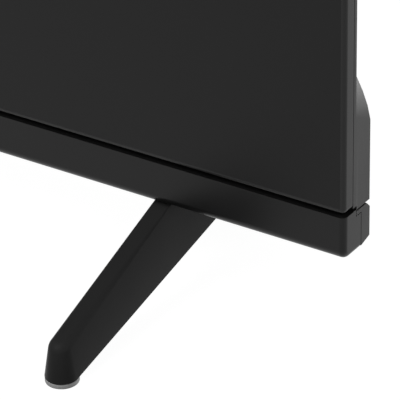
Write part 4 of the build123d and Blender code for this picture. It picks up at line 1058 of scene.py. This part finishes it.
class TELEVISION_OT_boards(bpy.types.Operator):
    """Finish the boards, sockets, leads and speakers"""

    bl_idname = "television.boards"
    bl_label = "Boards and sound"

    def execute(self, context):
        repaint("main_board", "power_board", "board_standoffs", "hdmi_sockets", "usb_sockets",
                "network_socket", "audio_jack", "power_inlet", "tuner_can", "processor",
                "processor_heatsink", "transformers", "power_capacitors", "power_heatsinks",
                "signal_cable", "wireless_module", "power_harness", "light_harness",
                "speaker_harness", "cable_clips", "left_speaker_box", "right_speaker_box",
                "speaker_drivers", "speaker_cones", "antenna_socket")
        sizes = context.scene.television_sizes
        screws("board", TO_WALL)
        small_parts(sizes)
        contacts(sizes)
        aerial_thread(sizes)
        return {"FINISHED"}


class TELEVISION_OT_keys(bpy.types.Operator):
    """Finish the keys and what lies behind them"""

    bl_idname = "television.keys"
    bl_label = "Keys"

    def execute(self, context):
        sizes = context.scene.television_sizes
        paint = finish_of(trim_finish, "mark_print", context.scene.television_colours.mark,
                          0.6, 0.4)
        width = sizes.mark_width
        for name, strokes in MARKS.items():
            dress(f"{name}_key", sizes.key_edge, "key_plastic", f"{name}_key_body")
            low, high = [Vector(corner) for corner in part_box(f"{name}_key")]
            middle = (low + high) / 2
            shape = bmesh.new()
            for order, (x, z, wide, tall, turn) in enumerate(strokes):
                thick = sizes.mark_height * 2 * (SECOND_STROKE if order % 2 else 1)
                add_box(shape, (middle.x + x * width, high.y, middle.z + z * width),
                        (wide * width, thick, tall * width), radians(turn))
            place(f"{name}_mark", mesh_of(f"{name}_mark", shape), "key_plastic",
                  f"{name}_key_body", finish=paint)
        repaint("key_board", "key_switches")
        return {"FINISHED"}


class TELEVISION_PT_sidebar(bpy.types.Panel):
    """List of the steps that make the set"""

    bl_idname = "TELEVISION_PT_sidebar"
    bl_label = "Television"
    bl_space_type = "VIEW_3D"
    bl_region_type = "UI"
    bl_category = "Television"

    def draw(self, context):
        for step in STEPS:
            self.layout.operator(step.bl_idname)


GROUPS = {"television_stage": TelevisionStage, "television_colours": TelevisionColours,
          "television_sizes": TelevisionSizes}
STEPS = (TELEVISION_OT_stage, TELEVISION_OT_screen, TELEVISION_OT_trim, TELEVISION_OT_cover,
         TELEVISION_OT_legs, TELEVISION_OT_boards, TELEVISION_OT_keys)


def register():
    """Add the classes, and the settings to the scene."""
    for cls in (*GROUPS.values(), *STEPS, TELEVISION_PT_sidebar):
        bpy.utils.register_class(cls)
    for name, group in GROUPS.items():
        setattr(bpy.types.Scene, name, PointerProperty(type=group))


def unregister():
    """Take the settings and the classes away again."""
    for name in GROUPS:
        delattr(bpy.types.Scene, name)
    for cls in (TELEVISION_PT_sidebar, *reversed(STEPS), *GROUPS.values()):
        bpy.utils.unregister_class(cls)


def main():
    """Make the whole scene."""
    register()
    for step in STEPS:
        family, name = step.bl_idname.split(".")
        getattr(getattr(bpy.ops, family), name)()


if __name__ == "__main__":
    main()
